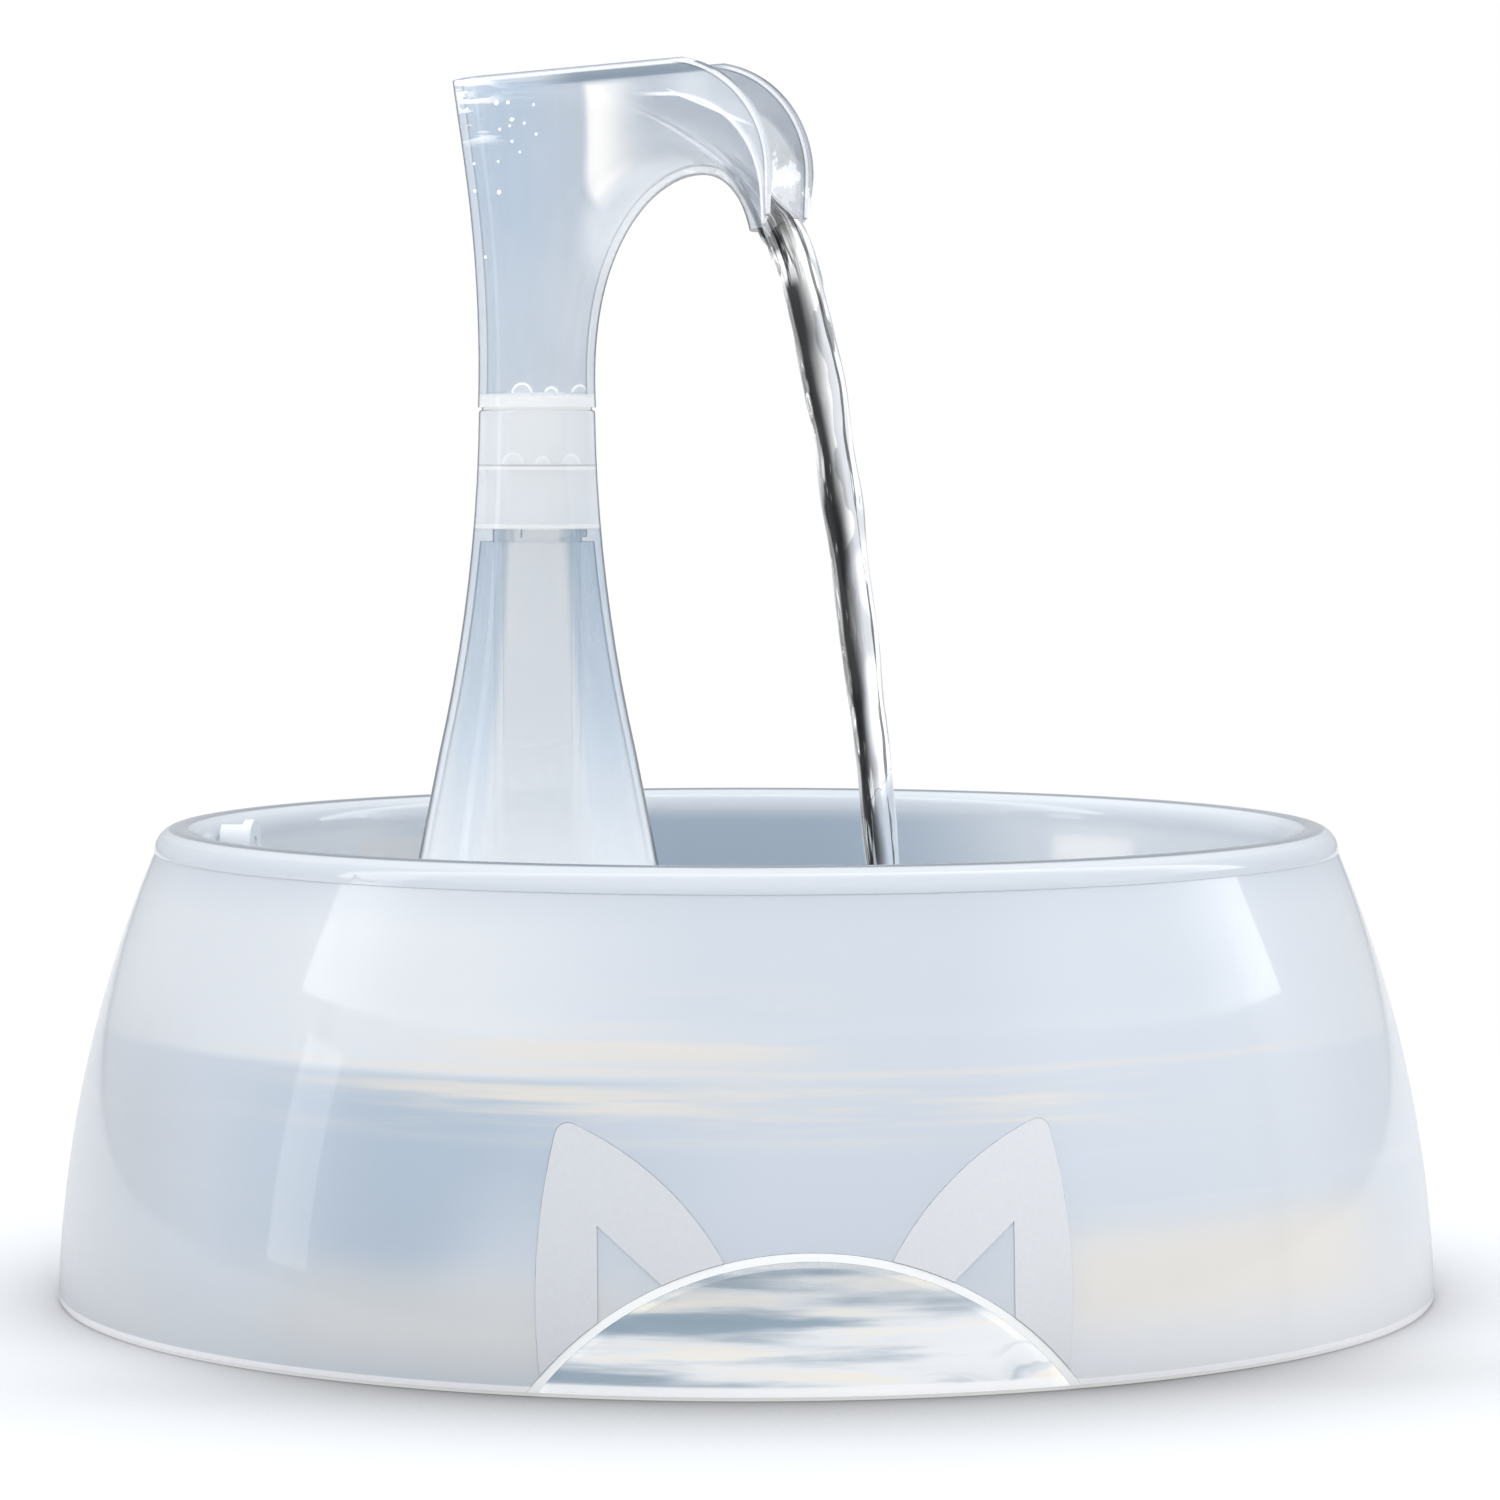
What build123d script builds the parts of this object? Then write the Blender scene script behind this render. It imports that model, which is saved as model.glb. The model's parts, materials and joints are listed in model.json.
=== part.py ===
"""Pet water fountain: a rolled-rim water bowl hung in a skirted shell, with a pump tower and swivel spout.

Millimetres, +Z up. The origin is on the bowl's axis at the surface that the feet stand on, and the
arched window in the shell faces -Y. Pump, tower and spout share one vertical axis inside the bowl;
their own pieces are drawn about that axis with +X along the spout, and then put in place.
"""
import os
from math import cos, radians, sin

from build123d import *

# Shell: a flared skirt, open above and below
FOOT_STAND = 0.8
SHELL_BASE_R = 141.8
SHELL_MID_R = 136.0
SHELL_MID_Z = 46.5
SHELL_TOP_R = 121.6
SHELL_TOP_Z = 91.2
SHELL_WALL = 2.2

# Guide posts inside the shell, with a rubber foot under each
POST_ANGLES = (48, 132, 228, 312)
POST_TOP_Z = 88.0
POST_RIB = 2.0
POST_FACE_W = 8.5
POST_FACE_T = 1.6
POST_GAP = 0.6
POST_ROOT = 1.0
BOSS_R = 7.5
BOSS_H = 7.0
BOSS_PLACE_R = 127.0
FOOT_R = 6.0
FOOT_RECESS = 2.0
FOOT_ROUND = 0.5
FOOT_FIT = 0.1

# Arched window in the front of the shell
ARCH_R = 63.4
ARCH_TOP_Z = 27.0
TRIM_W = 1.6
TRIM_LIP = 1.5
TRIM_LIP_T = 1.2
TRIM_FIT = 0.1

# Pair of ear motifs, moulded into shallow pockets beside the window; their outline is drawn beside a window
# that is EAR_WINDOW_X to each side at the floor, and moves out and in with the real one
EAR_WINDOW_X = 51.90954
EAR_PROUD = 0.25
EAR_DEPTH = 0.55
EAR_FIT = 0.05
EAR_SIDE_X = 49.5
EAR_FOOT_X = 48.8
EAR_FOOT_Z = 2.0
EAR_SIDE_Z = 25.0
EAR_TIP_X = 45.1
EAR_TIP_Z = 50.8
EAR_BROW_X = 30.0
EAR_BROW_Z = 42.3
EAR_TOE_X = 15.4
EAR_TOE_Z = 25.0
EAR_TIP_ROUND = 2.5
EAR_GAP_X = 38.5
EAR_GAP_TOP_Z = 31.6
EAR_GAP_TOE_X = 24.0
EAR_GAP_TOE_Z = 18.5
EAR_GAP_FOOT_Z = 9.0

# Water bowl, hung by its rolled rim on the shell's top edge
RIM_ROLL_R = 5.0
RIM_OVERHANG = 0.2
BOWL_WALL = 2.2
BOWL_TAPER = 2.3
BOWL_CORNER_R = 14.0
BOWL_FLOOR_Z = 4.2
LOCATOR_GAP = 0.8
LOCATOR_W = 1.4
LOCATOR_H = 2.0

# Cord clip on the bowl's wall behind the tower
CLIP_BEARING = 165.0
CLIP_W = 9.5
CLIP_H = 11.6
CLIP_TOP_Z = 95.6
CLIP_REACH = 6.6
CLIP_PLATE_T = 2.0
CLIP_LEG_T = 2.0
CLIP_EYE_R = 1.3
CLIP_INSET = 0.1

# Where the tower stands in the bowl
TOWER_PLACE_R = 47.3
TOWER_BEARING = 153.0

# Tower: a bell with a narrow neck
BELL_FOOT_R = 41.6
BELL_WAIST_R = 20.6
BELL_WAIST_Z = 110.0
BELL_THROAT_R = 14.6
BELL_THROAT_Z = 144.5
NECK_R = 12.15
NECK_TOP_Z = 181.4
NECK_BORE_R = 10.6
BELL_WALL = 1.6
LEDGE_Z = 154.0
LEDGE_T = 3.0
LEDGE_GAP = 0.25
SEAM_ROUND = 0.6
INTAKE_COUNT = 8
INTAKE_W = 10.0
INTAKE_H = 10.0

# Spout: a gooseneck tube that opens into a channel; X runs to its mouth, heights start at the neck's top
SPOUT_R = 12.15
SPOUT_WALL = 1.8
SPOUT_ROUND = 11.5
SPOUT_BACK = ((-12.3, 22.6), (-14.1, 43.6), (-17.2, 64.6), (-18.6, 74.6))
SPOUT_UNDERSIDE = ((13.6, 22.6), (18.5, 35.4), (27.8, 45.5), (37.4, 48.3), (44.6, 45.6), (47.9, 40.4))
MOUTH_X = 49.2
MOUTH_Z = 36.4
MOUTH_RUN_X = 2.2
MOUTH_RUN_Z = 8.0
RIM_BACK_X = -17.5
RIM_BACK_Z = 68.4
RIM_CREST_X = 38.0
RIM_CREST_Z = 71.8
LIP_BOW_X = 51.6
LIP_BOW_Z = 63.9
LIP_END_X = 57.3
LIP_END_Z = 47.6
LIP_TIP_X = 56.5
LIP_TIP_Z = 40.0
LIP_HEEL_X = 54.4
LIP_HEEL_Z = 37.0

# Spigot of the spout in the neck, with its O-ring and stop tongue
SPIGOT_GAP = 0.3
SPIGOT_BORE_R = 8.0
SPIGOT_LAND = 2.6
SEAL_Z = 169.0
SEAL_SECTION_R = 0.8
SEAL_GAP = 0.05
GROOVE_H = 1.9
TONGUE_W = 3.0
TONGUE_T = 0.7
TONGUE_H = 2.0
TONGUE_OFFSET = 0.4
SWIVEL_LIMIT = 75.0
SLOT_EXTRA = 10.0
SLOT_GAP = 0.15
SLOT_FLOOR_GAP = 0.3

# Pump: heights above the table, X from the tower axis
ROTOR_Z = 24.0
CUP_TOP_Z = 9.0
HOUSING_BACK_X = -27.0
HOUSING_FRONT_X = -8.0
HOUSING_HALF_W = 12.5
HOUSING_TOP_Z = 48.0
HOUSING_WALL = 2.0
WELL_R = 8.5
WELL_BORE_R = 7.0
BASE_FRONT_X = 2.0
HOUSING_ROUND = 2.0

# Stator and coil, potted in the housing
STATOR_X0 = -22.0
STATOR_X1 = -13.0
STATOR_HALF_W = 10.0
STATOR_Z0 = 13.0
STATOR_Z1 = 43.0
STATOR_LIMB = 3.5
STATOR_WINDOW_Z0 = 35.0
STATOR_WINDOW_HALF_W = 7.0
COIL_T = 2.5
COIL_HALF_W = 6.5
POT_GAP = 0.2

# Impeller chamber and outlet
CHAMBER_R = 13.0
CHAMBER_BORE_R = 11.5
CHAMBER_FRONT_X = 8.0
NOZZLE_R = 7.2
NOZZLE_BORE_R = 5.2
NOZZLE_TOP_Z = 60.0
COLLAR_Z0 = 48.3
COLLAR_H = 1.7
SEAL_GROOVE_W = 1.0
SEAL_GROOVE_H = 0.9
SEAL_RING_GAP = 0.05

# Riser tube from the outlet to the neck
RISER_R = 9.1
RISER_FIT = 0.1
RISER_TOP_GAP = 0.8

# Rotor, blades, shaft and bushes
MAGNET_R = 6.2
MAGNET_X0 = -22.0
MAGNET_X1 = -8.5
BLADE_DISC_X0 = -7.0
BLADE_DISC_T = 1.2
BLADE_R = 10.0
BLADE_T = 1.2
BLADE_COUNT = 6
BLADE_X1 = 6.0
HUB_R = 3.0
HUB_X1 = 7.5
SHAFT_R = 1.0
SHAFT_FIT = 0.05
BUSH_R = 2.5
BUSH_END_GAP = 0.5

# Intake cover, flow dial and filter cage in front of the chamber
COVER_T = 3.0
COVER_BOSS_R = 3.4
COVER_BOSS_L = 2.4
INTAKE_PORT_R = 2.3
INTAKE_PORT_PLACE_R = 6.6
INTAKE_PORTS = 3
DIAL_R = 9.6
DIAL_T = 1.8
DIAL_GAP = 0.2
DIAL_FIT = 0.08
DIAL_LEVER_W = 3.0
DIAL_LEVER_TIP_R = 18.0
DIAL_REST_ANGLE = 67.5
DIAL_TRAVEL = 45.0
DIAL_SWEEP_GAP = 5.0
CAGE_FIT = 0.2
CAGE_WALL = 1.4
CAGE_X0 = 8.5
CAGE_X1 = 27.0
CAGE_SLOTS = 5
CAGE_SLOT_W = 2.0
CAGE_SLOT_PITCH = 4.6
CAGE_SLOT_H = 20.0
FOAM_X0 = 14.2
FOAM_T = 5.0
CARBON_T = 5.8
PAD_GAP = 0.3

# Suction cups and cable gland
CUP_R = 5.5
CUP_NECK_R = 3.0
CUP_STEM_R = 1.9
CUP_LIP = 1.0
CUP_HOLLOW = 2.3
CUP_FIT = 0.1
CUP_FLANGE_T = 0.8
CUP_XS = (-22.0, -3.0)
CUP_Y = 8.0
GLAND_Z = 38.5
GLAND_R = 3.5
GLAND_BORE_R = 2.0
GLAND_L = 3.0

OFFSET_STEPS = 12
BASE = (Align.CENTER, Align.CENTER, Align.MIN)

# Values that follow from the ones above; REACH is longer than any piece
REACH = SHELL_BASE_R + NECK_TOP_Z + RIM_CREST_Z
RIM_R = SHELL_TOP_R + RIM_OVERHANG - RIM_ROLL_R
ARCH_FOOT_X = (ARCH_R ** 2 - (ARCH_R - ARCH_TOP_Z) ** 2) ** 0.5
BOWL_BOTTOM_Z = BOWL_FLOOR_Z - BOWL_WALL
BOWL_IN_R = RIM_R - RIM_ROLL_R
SPIGOT_R = NECK_BORE_R - SPIGOT_GAP
SPIGOT_END_Z = LEDGE_Z + LEDGE_T + SPIGOT_GAP
RISER_BORE_R = NOZZLE_R + RISER_FIT
RISER_BASE_Z = COLLAR_Z0 + COLLAR_H
RISER_TOP_Z = SPIGOT_END_Z - RISER_TOP_GAP
LEDGE_BORE_R = RISER_R + LEDGE_GAP
HOUSING_BASE_Z = CUP_TOP_Z
COVER_X1 = CHAMBER_FRONT_X + COVER_T
DIAL_X0 = COVER_X1 + DIAL_GAP
CAGE_HALF = CHAMBER_R + CAGE_FIT


def box(x0, x1, y0, y1, z0, z1):
    return Pos(x0, y0, z0) * Box(x1 - x0, y1 - y0, z1 - z0, align=(Align.MIN, Align.MIN, Align.MIN))


def rod(radius, z0, z1):
    return Pos(0, 0, z0) * Cylinder(radius, z1 - z0, align=BASE)


def ring(outer, inner, z0, z1):
    return rod(outer, z0, z1) - rod(inner, z0, z1)


def x_rod(radius, x0, x1, z=ROTOR_Z):
    return Pos(x0, 0, z) * Rot(0, 90, 0) * Cylinder(radius, x1 - x0, align=BASE)


def x_ring(outer, inner, x0, x1):
    return x_rod(outer, x0, x1) - x_rod(inner, x0, x1)


def rz(radius, z):
    return (radius, 0, z)


def above_neck(x, z):
    """A point of the spout's side view, with its height taken from the neck's top."""
    return rz(x, NECK_TOP_Z + z)


def turned(*edges):
    """Solid of revolution from edges that close a profile in the XZ plane."""
    return revolve(make_face(list(edges)), axis=Axis.Z)


def at_tower(shape):
    return Rot(0, 0, TOWER_BEARING) * Pos(TOWER_PLACE_R, 0, 0) * Rot(0, 0, 180) * shape


def skirt(out, inside):
    """The shell's wall between two offsets, measured inward from its outer face."""
    def bow(offset):
        return ThreePointArc(rz(SHELL_BASE_R - offset, FOOT_STAND), rz(SHELL_MID_R - offset, SHELL_MID_Z),
                             rz(SHELL_TOP_R - offset, SHELL_TOP_Z))
    outer, inner = bow(out), bow(inside)
    return turned(outer, Line(outer @ 1, inner @ 1), inner, Line(inner @ 0, outer @ 0))


def skirt_core(offset):
    """Everything inside the shell's wall, out to an offset from its outer face."""
    bow = ThreePointArc(rz(SHELL_BASE_R - offset, FOOT_STAND), rz(SHELL_MID_R - offset, SHELL_MID_Z),
                        rz(SHELL_TOP_R - offset, SHELL_TOP_Z))
    return turned(bow, Polyline(bow @ 1, rz(0, SHELL_TOP_Z), rz(0, FOOT_STAND), bow @ 0))


def arch_tunnel(radius):
    """The window's arch, as a round bar lying along Y through the front of the shell."""
    return Pos(0, 0, ARCH_TOP_Z - ARCH_R) * Rot(90, 0, 0) * Cylinder(radius, REACH, align=BASE)


def ear_prism(grow):
    """One ear's outline, run through the front of the shell."""
    side = ThreePointArc(rz(EAR_FOOT_X + grow, EAR_FOOT_Z), rz(EAR_SIDE_X + grow, EAR_SIDE_Z),
                         rz(EAR_TIP_X + grow, EAR_TIP_Z + grow))
    brow = ThreePointArc(side @ 1, rz(EAR_BROW_X - grow, EAR_BROW_Z + grow), rz(EAR_TOE_X - grow, EAR_TOE_Z))
    outline = make_face([side, brow, Line(brow @ 1, side @ 0)])
    tip = outline.vertices().sort_by(Axis.Z)[-1]
    ear = extrude(fillet(tip, EAR_TIP_ROUND), REACH, dir=(0, -1, 0))
    gap = Polyline(rz(EAR_GAP_X - grow, EAR_GAP_TOP_Z - grow), rz(EAR_GAP_X - grow, EAR_GAP_FOOT_Z),
                   rz(EAR_GAP_TOE_X + grow, EAR_GAP_TOE_Z), close=True)
    return ear - extrude(make_face(gap), REACH, dir=(0, -1, 0))


def ears(grow, arch_r):
    """Both ears in the shell's outer skin, down to an arch round the window."""
    skin = skirt(-EAR_PROUD, EAR_DEPTH + grow) - arch_tunnel(arch_r)
    right = skin & (Pos(ARCH_FOOT_X - EAR_WINDOW_X, 0, 0) * ear_prism(grow))
    return right + mirror(right, about=Plane.YZ)


def ear_motif():
    return ears(0, ARCH_R + EAR_FIT)


def guide_post(angle):
    face_r = RIM_R - RIM_ROLL_R + BOWL_WALL + POST_GAP
    half_rib, half_face = POST_RIB / 2, POST_FACE_W / 2
    rib = box(face_r, SHELL_BASE_R, -half_rib, half_rib, FOOT_STAND, POST_TOP_Z)
    face = box(face_r, face_r + POST_FACE_T, -half_face, half_face, FOOT_STAND, POST_TOP_Z)
    boss = Pos(BOSS_PLACE_R, 0, 0) * rod(BOSS_R, FOOT_STAND, FOOT_STAND + BOSS_H)
    return Rot(0, 0, angle) * (rib + face + boss)


def foot(angle, radius, bottom):
    return Rot(0, 0, angle) * Pos(BOSS_PLACE_R, 0, 0) * rod(radius, bottom, FOOT_STAND + FOOT_RECESS)


def outer_shell():
    shell = skirt(0, SHELL_WALL)
    posts = [guide_post(angle) for angle in POST_ANGLES]
    for post in posts:
        shell += post & skirt_core(SHELL_WALL - POST_ROOT)
    for angle in POST_ANGLES:
        shell -= foot(angle, FOOT_R + FOOT_FIT, 0)
    return shell - arch_tunnel(ARCH_R) - ears(EAR_FIT, ARCH_R - TRIM_W)


def rubber_feet():
    feet = [foot(angle, FOOT_R, 0) for angle in POST_ANGLES]
    return Compound([fillet(one.edges().sort_by(Axis.Z)[0], FOOT_ROUND) for one in feet])


def window_trim():
    strip = skirt(0, SHELL_WALL + TRIM_LIP_T)
    strip = (strip & arch_tunnel(ARCH_R - TRIM_FIT)) - arch_tunnel(ARCH_R - TRIM_W)
    lip = skirt(SHELL_WALL + TRIM_FIT, SHELL_WALL + TRIM_LIP_T)
    lip = (lip & arch_tunnel(ARCH_R + TRIM_LIP)) - arch_tunnel(ARCH_R - TRIM_W - TRIM_LIP)
    return strip + lip


def sight_window():
    return skirt(0, SHELL_WALL) & arch_tunnel(ARCH_R - TRIM_W - TRIM_FIT)


def inner_bowl():
    """Bowl with its rim rolled over the shell, and a low ring that centres the tower's foot."""
    def roll(radius):
        return ThreePointArc(rz(RIM_R - radius, SHELL_TOP_Z), rz(RIM_R, SHELL_TOP_Z + radius),
                             rz(RIM_R + radius, SHELL_TOP_Z))
    over, under = roll(RIM_ROLL_R), roll(RIM_ROLL_R - BOWL_WALL)
    wet_r = BOWL_IN_R - BOWL_TAPER
    dry_r = wet_r + BOWL_WALL
    wet = Polyline(over @ 0, rz(wet_r, BOWL_FLOOR_Z), rz(0, BOWL_FLOOR_Z), rz(0, BOWL_BOTTOM_Z),
                   rz(dry_r, BOWL_BOTTOM_Z), under @ 0)
    profile = make_face([over, Line(over @ 1, under @ 1), under, wet])
    for radius, corner in ((BOWL_CORNER_R, rz(wet_r, BOWL_FLOOR_Z)),
                           (BOWL_CORNER_R + BOWL_WALL, rz(dry_r, BOWL_BOTTOM_Z))):
        profile = fillet(profile.vertices().sort_by_distance(corner)[0], radius)
    locator_r = BELL_FOOT_R - BELL_WALL - LOCATOR_GAP
    locator = ring(locator_r, locator_r - LOCATOR_W, BOWL_FLOOR_Z - BOWL_WALL / 2, BOWL_FLOOR_Z + LOCATOR_H)
    return revolve(profile, axis=Axis.Z) + at_tower(locator)


def cord_clip():
    """Round-topped bridge on the bowl's wall that the pump's cord comes up behind, to the rim."""
    half = CLIP_W / 2
    back_r = BOWL_IN_R - CLIP_INSET - BOWL_TAPER * CLIP_H / (SHELL_TOP_Z - BOWL_FLOOR_Z)
    front_r = back_r - CLIP_REACH
    crown_z = CLIP_TOP_Z - half
    bridge = box(front_r, BOWL_IN_R, -half, half, CLIP_TOP_Z - CLIP_H, crown_z)
    bridge += x_rod(half, front_r, BOWL_IN_R, crown_z)
    way = box(front_r + CLIP_PLATE_T, BOWL_IN_R, CLIP_LEG_T - half, half - CLIP_LEG_T, 0, CLIP_TOP_Z)
    eye = x_rod(CLIP_EYE_R, front_r, BOWL_IN_R, crown_z)
    return Rot(0, 0, CLIP_BEARING) * ((bridge & rod(back_r, 0, REACH)) - way - eye)


def bell_profile(wall):
    """Half profile of the bell, from the bowl's floor up to the neck's top."""
    flare = ThreePointArc(rz(BELL_WAIST_R - wall, BELL_WAIST_Z), rz(BELL_THROAT_R - wall, BELL_THROAT_Z),
                          rz(NECK_R - wall, NECK_TOP_Z))
    side = Line(rz(BELL_FOOT_R - wall, BOWL_FLOOR_Z), flare @ 0)
    return turned(side, flare, Polyline(flare @ 1, rz(0, NECK_TOP_Z), rz(0, BOWL_FLOOR_Z), side @ 0))


def intake_arch(angle):
    half = INTAKE_W / 2
    flat = box(0, REACH, -half, half, 0, BOWL_FLOOR_Z + INTAKE_H - half)
    crown = x_rod(half, 0, REACH, BOWL_FLOOR_Z + INTAKE_H - half)
    return Rot(0, 0, angle) * (flat + crown)


def tongue_slot():
    """Arc in the ledge that the spout's stop tongue runs in."""
    arc = radians(SWIVEL_LIMIT + SLOT_EXTRA)
    tongue_r = SPIGOT_R - TONGUE_T
    floor_z = LEDGE_Z + LEDGE_T + SPIGOT_GAP - TONGUE_H - SLOT_FLOOR_GAP
    track = ring(SPIGOT_R + SLOT_GAP, tongue_r - SLOT_GAP - TONGUE_OFFSET, floor_z, LEDGE_Z + LEDGE_T)
    far = 2 * NECK_R
    wedge = Polyline((0, 0, 0), (far * cos(arc), -far * sin(arc), 0), (far, -far, 0), (far, far, 0),
                     (far * cos(arc), far * sin(arc), 0), close=True)
    return track & extrude(make_face(wedge), REACH)


def tower_bell():
    bell = bell_profile(0)
    seam = bell.edges().group_by(Axis.Z)[-1]
    hollow = bell_profile(BELL_WALL) & rod(REACH, 0, LEDGE_Z)
    bell = fillet(seam, SEAM_ROUND) - hollow
    bell -= rod(NECK_BORE_R, LEDGE_Z + LEDGE_T, REACH) + rod(LEDGE_BORE_R, LEDGE_Z - 1, REACH)
    for step in range(INTAKE_COUNT):
        bell -= intake_arch(step * 360 / INTAKE_COUNT)
    return bell - tongue_slot()


def set_in(curve, depth):
    """The curve moved to its left by a depth; left is into the spout on the curves below."""
    points = []
    for step in range(OFFSET_STEPS + 1):
        place, along = curve @ (step / OFFSET_STEPS), curve % (step / OFFSET_STEPS)
        points.append(rz(place.X - along.Z * depth, place.Z + along.X * depth))
    return Spline(*points)


def spout_under(base_z):
    """The spout's front and underside, from the neck up, over to the mouth and on below it."""
    middle = [above_neck(x, z) for x, z in SPOUT_UNDERSIDE]
    return Spline(rz(SPOUT_R, base_z), *middle, above_neck(MOUTH_X, MOUTH_Z),
                  above_neck(MOUTH_X + MOUTH_RUN_X, MOUTH_Z - MOUTH_RUN_Z))


def spout_back(base_z):
    """The spout's back, from just above its rim down to the neck."""
    middle = [above_neck(x, z) for x, z in reversed(SPOUT_BACK)]
    return Spline(*middle, rz(-SPOUT_R, base_z))


def rim_z(x):
    """Height of the channel's top rim over the neck, which climbs towards its crest."""
    return RIM_BACK_Z + (RIM_CREST_Z - RIM_BACK_Z) * (x - RIM_BACK_X) / (RIM_CREST_X - RIM_BACK_X)


def rounded(base_z, depth):
    """The spout's uncut outline, set in by a depth all round, with its long edges rounded."""
    under, back = set_in(spout_under(base_z), depth), set_in(spout_back(base_z), depth)
    around = Polyline(under @ 1, rz(REACH, (under @ 1).Z), rz(REACH, REACH * 2), rz((back @ 0).X, REACH * 2),
                      back @ 0)
    profile = make_face([under, around, back, Line(back @ 1, under @ 0)])
    half = SPOUT_R - depth
    body = Pos(0, -half, 0) * extrude(profile, 2 * half, dir=(0, 1, 0))
    return fillet(body.edges().filter_by(GeomType.BSPLINE), SPOUT_ROUND - depth)


def spout_trim():
    """What is cut away above the rim, outside the lips' free edges and past the mouth."""
    lip = ThreePointArc(above_neck(RIM_CREST_X, RIM_CREST_Z), above_neck(LIP_BOW_X, LIP_BOW_Z),
                        above_neck(LIP_END_X, LIP_END_Z))
    rest = Polyline(lip @ 1, above_neck(LIP_TIP_X, LIP_TIP_Z), above_neck(LIP_HEEL_X, LIP_HEEL_Z),
                    above_neck(MOUTH_X, MOUTH_Z), rz(MOUTH_X, 0), rz(REACH * 2, 0), rz(REACH * 2, REACH * 3),
                    rz(-REACH, REACH * 3), above_neck(-REACH, rim_z(-REACH)), lip @ 0)
    return Pos(0, -REACH, 0) * extrude(make_face([lip, rest]), 2 * REACH, dir=(0, 1, 0))


def spigot():
    """Plug in the neck, with the O-ring's groove, the stop tongue and a slim shoulder on the seam."""
    land_z = NECK_TOP_Z + SPIGOT_LAND
    plug = rod(SPIGOT_R, SPIGOT_END_Z, land_z) + rod(SPOUT_R - SEAM_ROUND, NECK_TOP_Z, land_z - SEAM_ROUND)
    groove_floor = NECK_BORE_R - 2 * SEAL_GAP - 2 * SEAL_SECTION_R
    plug -= ring(SPOUT_R, groove_floor, SEAL_Z - GROOVE_H / 2, SEAL_Z + GROOVE_H / 2)
    tongue = box(0, REACH, -TONGUE_W / 2, TONGUE_W / 2, 0, REACH)
    return plug + (tongue & ring(SPIGOT_R, SPIGOT_R - TONGUE_T, SPIGOT_END_Z - TONGUE_H, SPIGOT_END_Z))


def spout():
    head = rounded(NECK_TOP_Z + SEAM_ROUND, 0) - spout_trim() - rounded(NECK_TOP_Z + SPIGOT_LAND, SPOUT_WALL)
    return head + spigot() - rod(SPIGOT_BORE_R, 0, NECK_TOP_Z + 2 * SPIGOT_LAND)


def spout_seal():
    centre_r = NECK_BORE_R - SEAL_GAP - SEAL_SECTION_R
    return Pos(0, 0, SEAL_Z) * Torus(centre_r, SEAL_SECTION_R)


def stator_core():
    block = box(STATOR_X0, STATOR_X1, -STATOR_HALF_W, STATOR_HALF_W, STATOR_Z0, STATOR_Z1)
    window = box(STATOR_X0, STATOR_X1, -STATOR_WINDOW_HALF_W, STATOR_WINDOW_HALF_W, STATOR_WINDOW_Z0,
                 STATOR_Z1 - STATOR_LIMB)
    return block - window - x_rod(WELL_R + POT_GAP, STATOR_X0, STATOR_X1)


def coil():
    limb_z0 = STATOR_Z1 - STATOR_LIMB
    winding = box(STATOR_X0 - COIL_T, STATOR_X1 + COIL_T, -COIL_HALF_W, COIL_HALF_W, limb_z0 - COIL_T,
                  STATOR_Z1 + COIL_T)
    return winding - box(STATOR_X0 - POT_GAP, STATOR_X1 + POT_GAP, -COIL_HALF_W, COIL_HALF_W,
                         limb_z0 - POT_GAP, STATOR_Z1 + POT_GAP)


def housing_cavity(gap):
    wall = HOUSING_WALL + gap
    return box(HOUSING_BACK_X + wall, HOUSING_FRONT_X - wall, wall - HOUSING_HALF_W, HOUSING_HALF_W - wall,
               HOUSING_BASE_Z + wall, HOUSING_TOP_Z - wall)


def epoxy_fill():
    pocket = box(STATOR_X0 - POT_GAP, STATOR_X1 + POT_GAP, -STATOR_HALF_W - POT_GAP, STATOR_HALF_W + POT_GAP,
                 STATOR_Z0 - POT_GAP, STATOR_Z1 + POT_GAP)
    winding = box(STATOR_X0 - COIL_T - POT_GAP, STATOR_X1 + COIL_T + POT_GAP, -COIL_HALF_W - POT_GAP,
                  COIL_HALF_W + POT_GAP, STATOR_Z1 - STATOR_LIMB - COIL_T - POT_GAP,
                  STATOR_Z1 + COIL_T + POT_GAP)
    return housing_cavity(0) - pocket - winding - x_rod(WELL_R + POT_GAP, HOUSING_BACK_X, HOUSING_FRONT_X)


def cup_places():
    return [(x, y) for x in CUP_XS for y in (-CUP_Y, CUP_Y)]


def pump_housing():
    """Sealed case with the rotor's well, on a base plate that takes the suction cups."""
    body = box(HOUSING_BACK_X, HOUSING_FRONT_X, -HOUSING_HALF_W, HOUSING_HALF_W, HOUSING_BASE_Z, HOUSING_TOP_Z)
    body = fillet(body.edges().filter_by(Axis.Z), HOUSING_ROUND)
    plate = box(HOUSING_BACK_X + HOUSING_ROUND, BASE_FRONT_X, -HOUSING_HALF_W, HOUSING_HALF_W, HOUSING_BASE_Z,
                HOUSING_BASE_Z + HOUSING_WALL)
    body = body - housing_cavity(0) + plate
    body += x_rod(WELL_R, HOUSING_BACK_X, HOUSING_FRONT_X)
    body -= x_rod(WELL_BORE_R, HOUSING_BACK_X + HOUSING_WALL, HOUSING_FRONT_X)
    body -= x_rod(GLAND_BORE_R, HOUSING_BACK_X, HOUSING_BACK_X + HOUSING_WALL, GLAND_Z)
    for x, y in cup_places():
        body -= Pos(x, y, 0) * rod(CUP_STEM_R + CUP_FIT, HOUSING_BASE_Z, HOUSING_BASE_Z + HOUSING_WALL)
    return body


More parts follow.
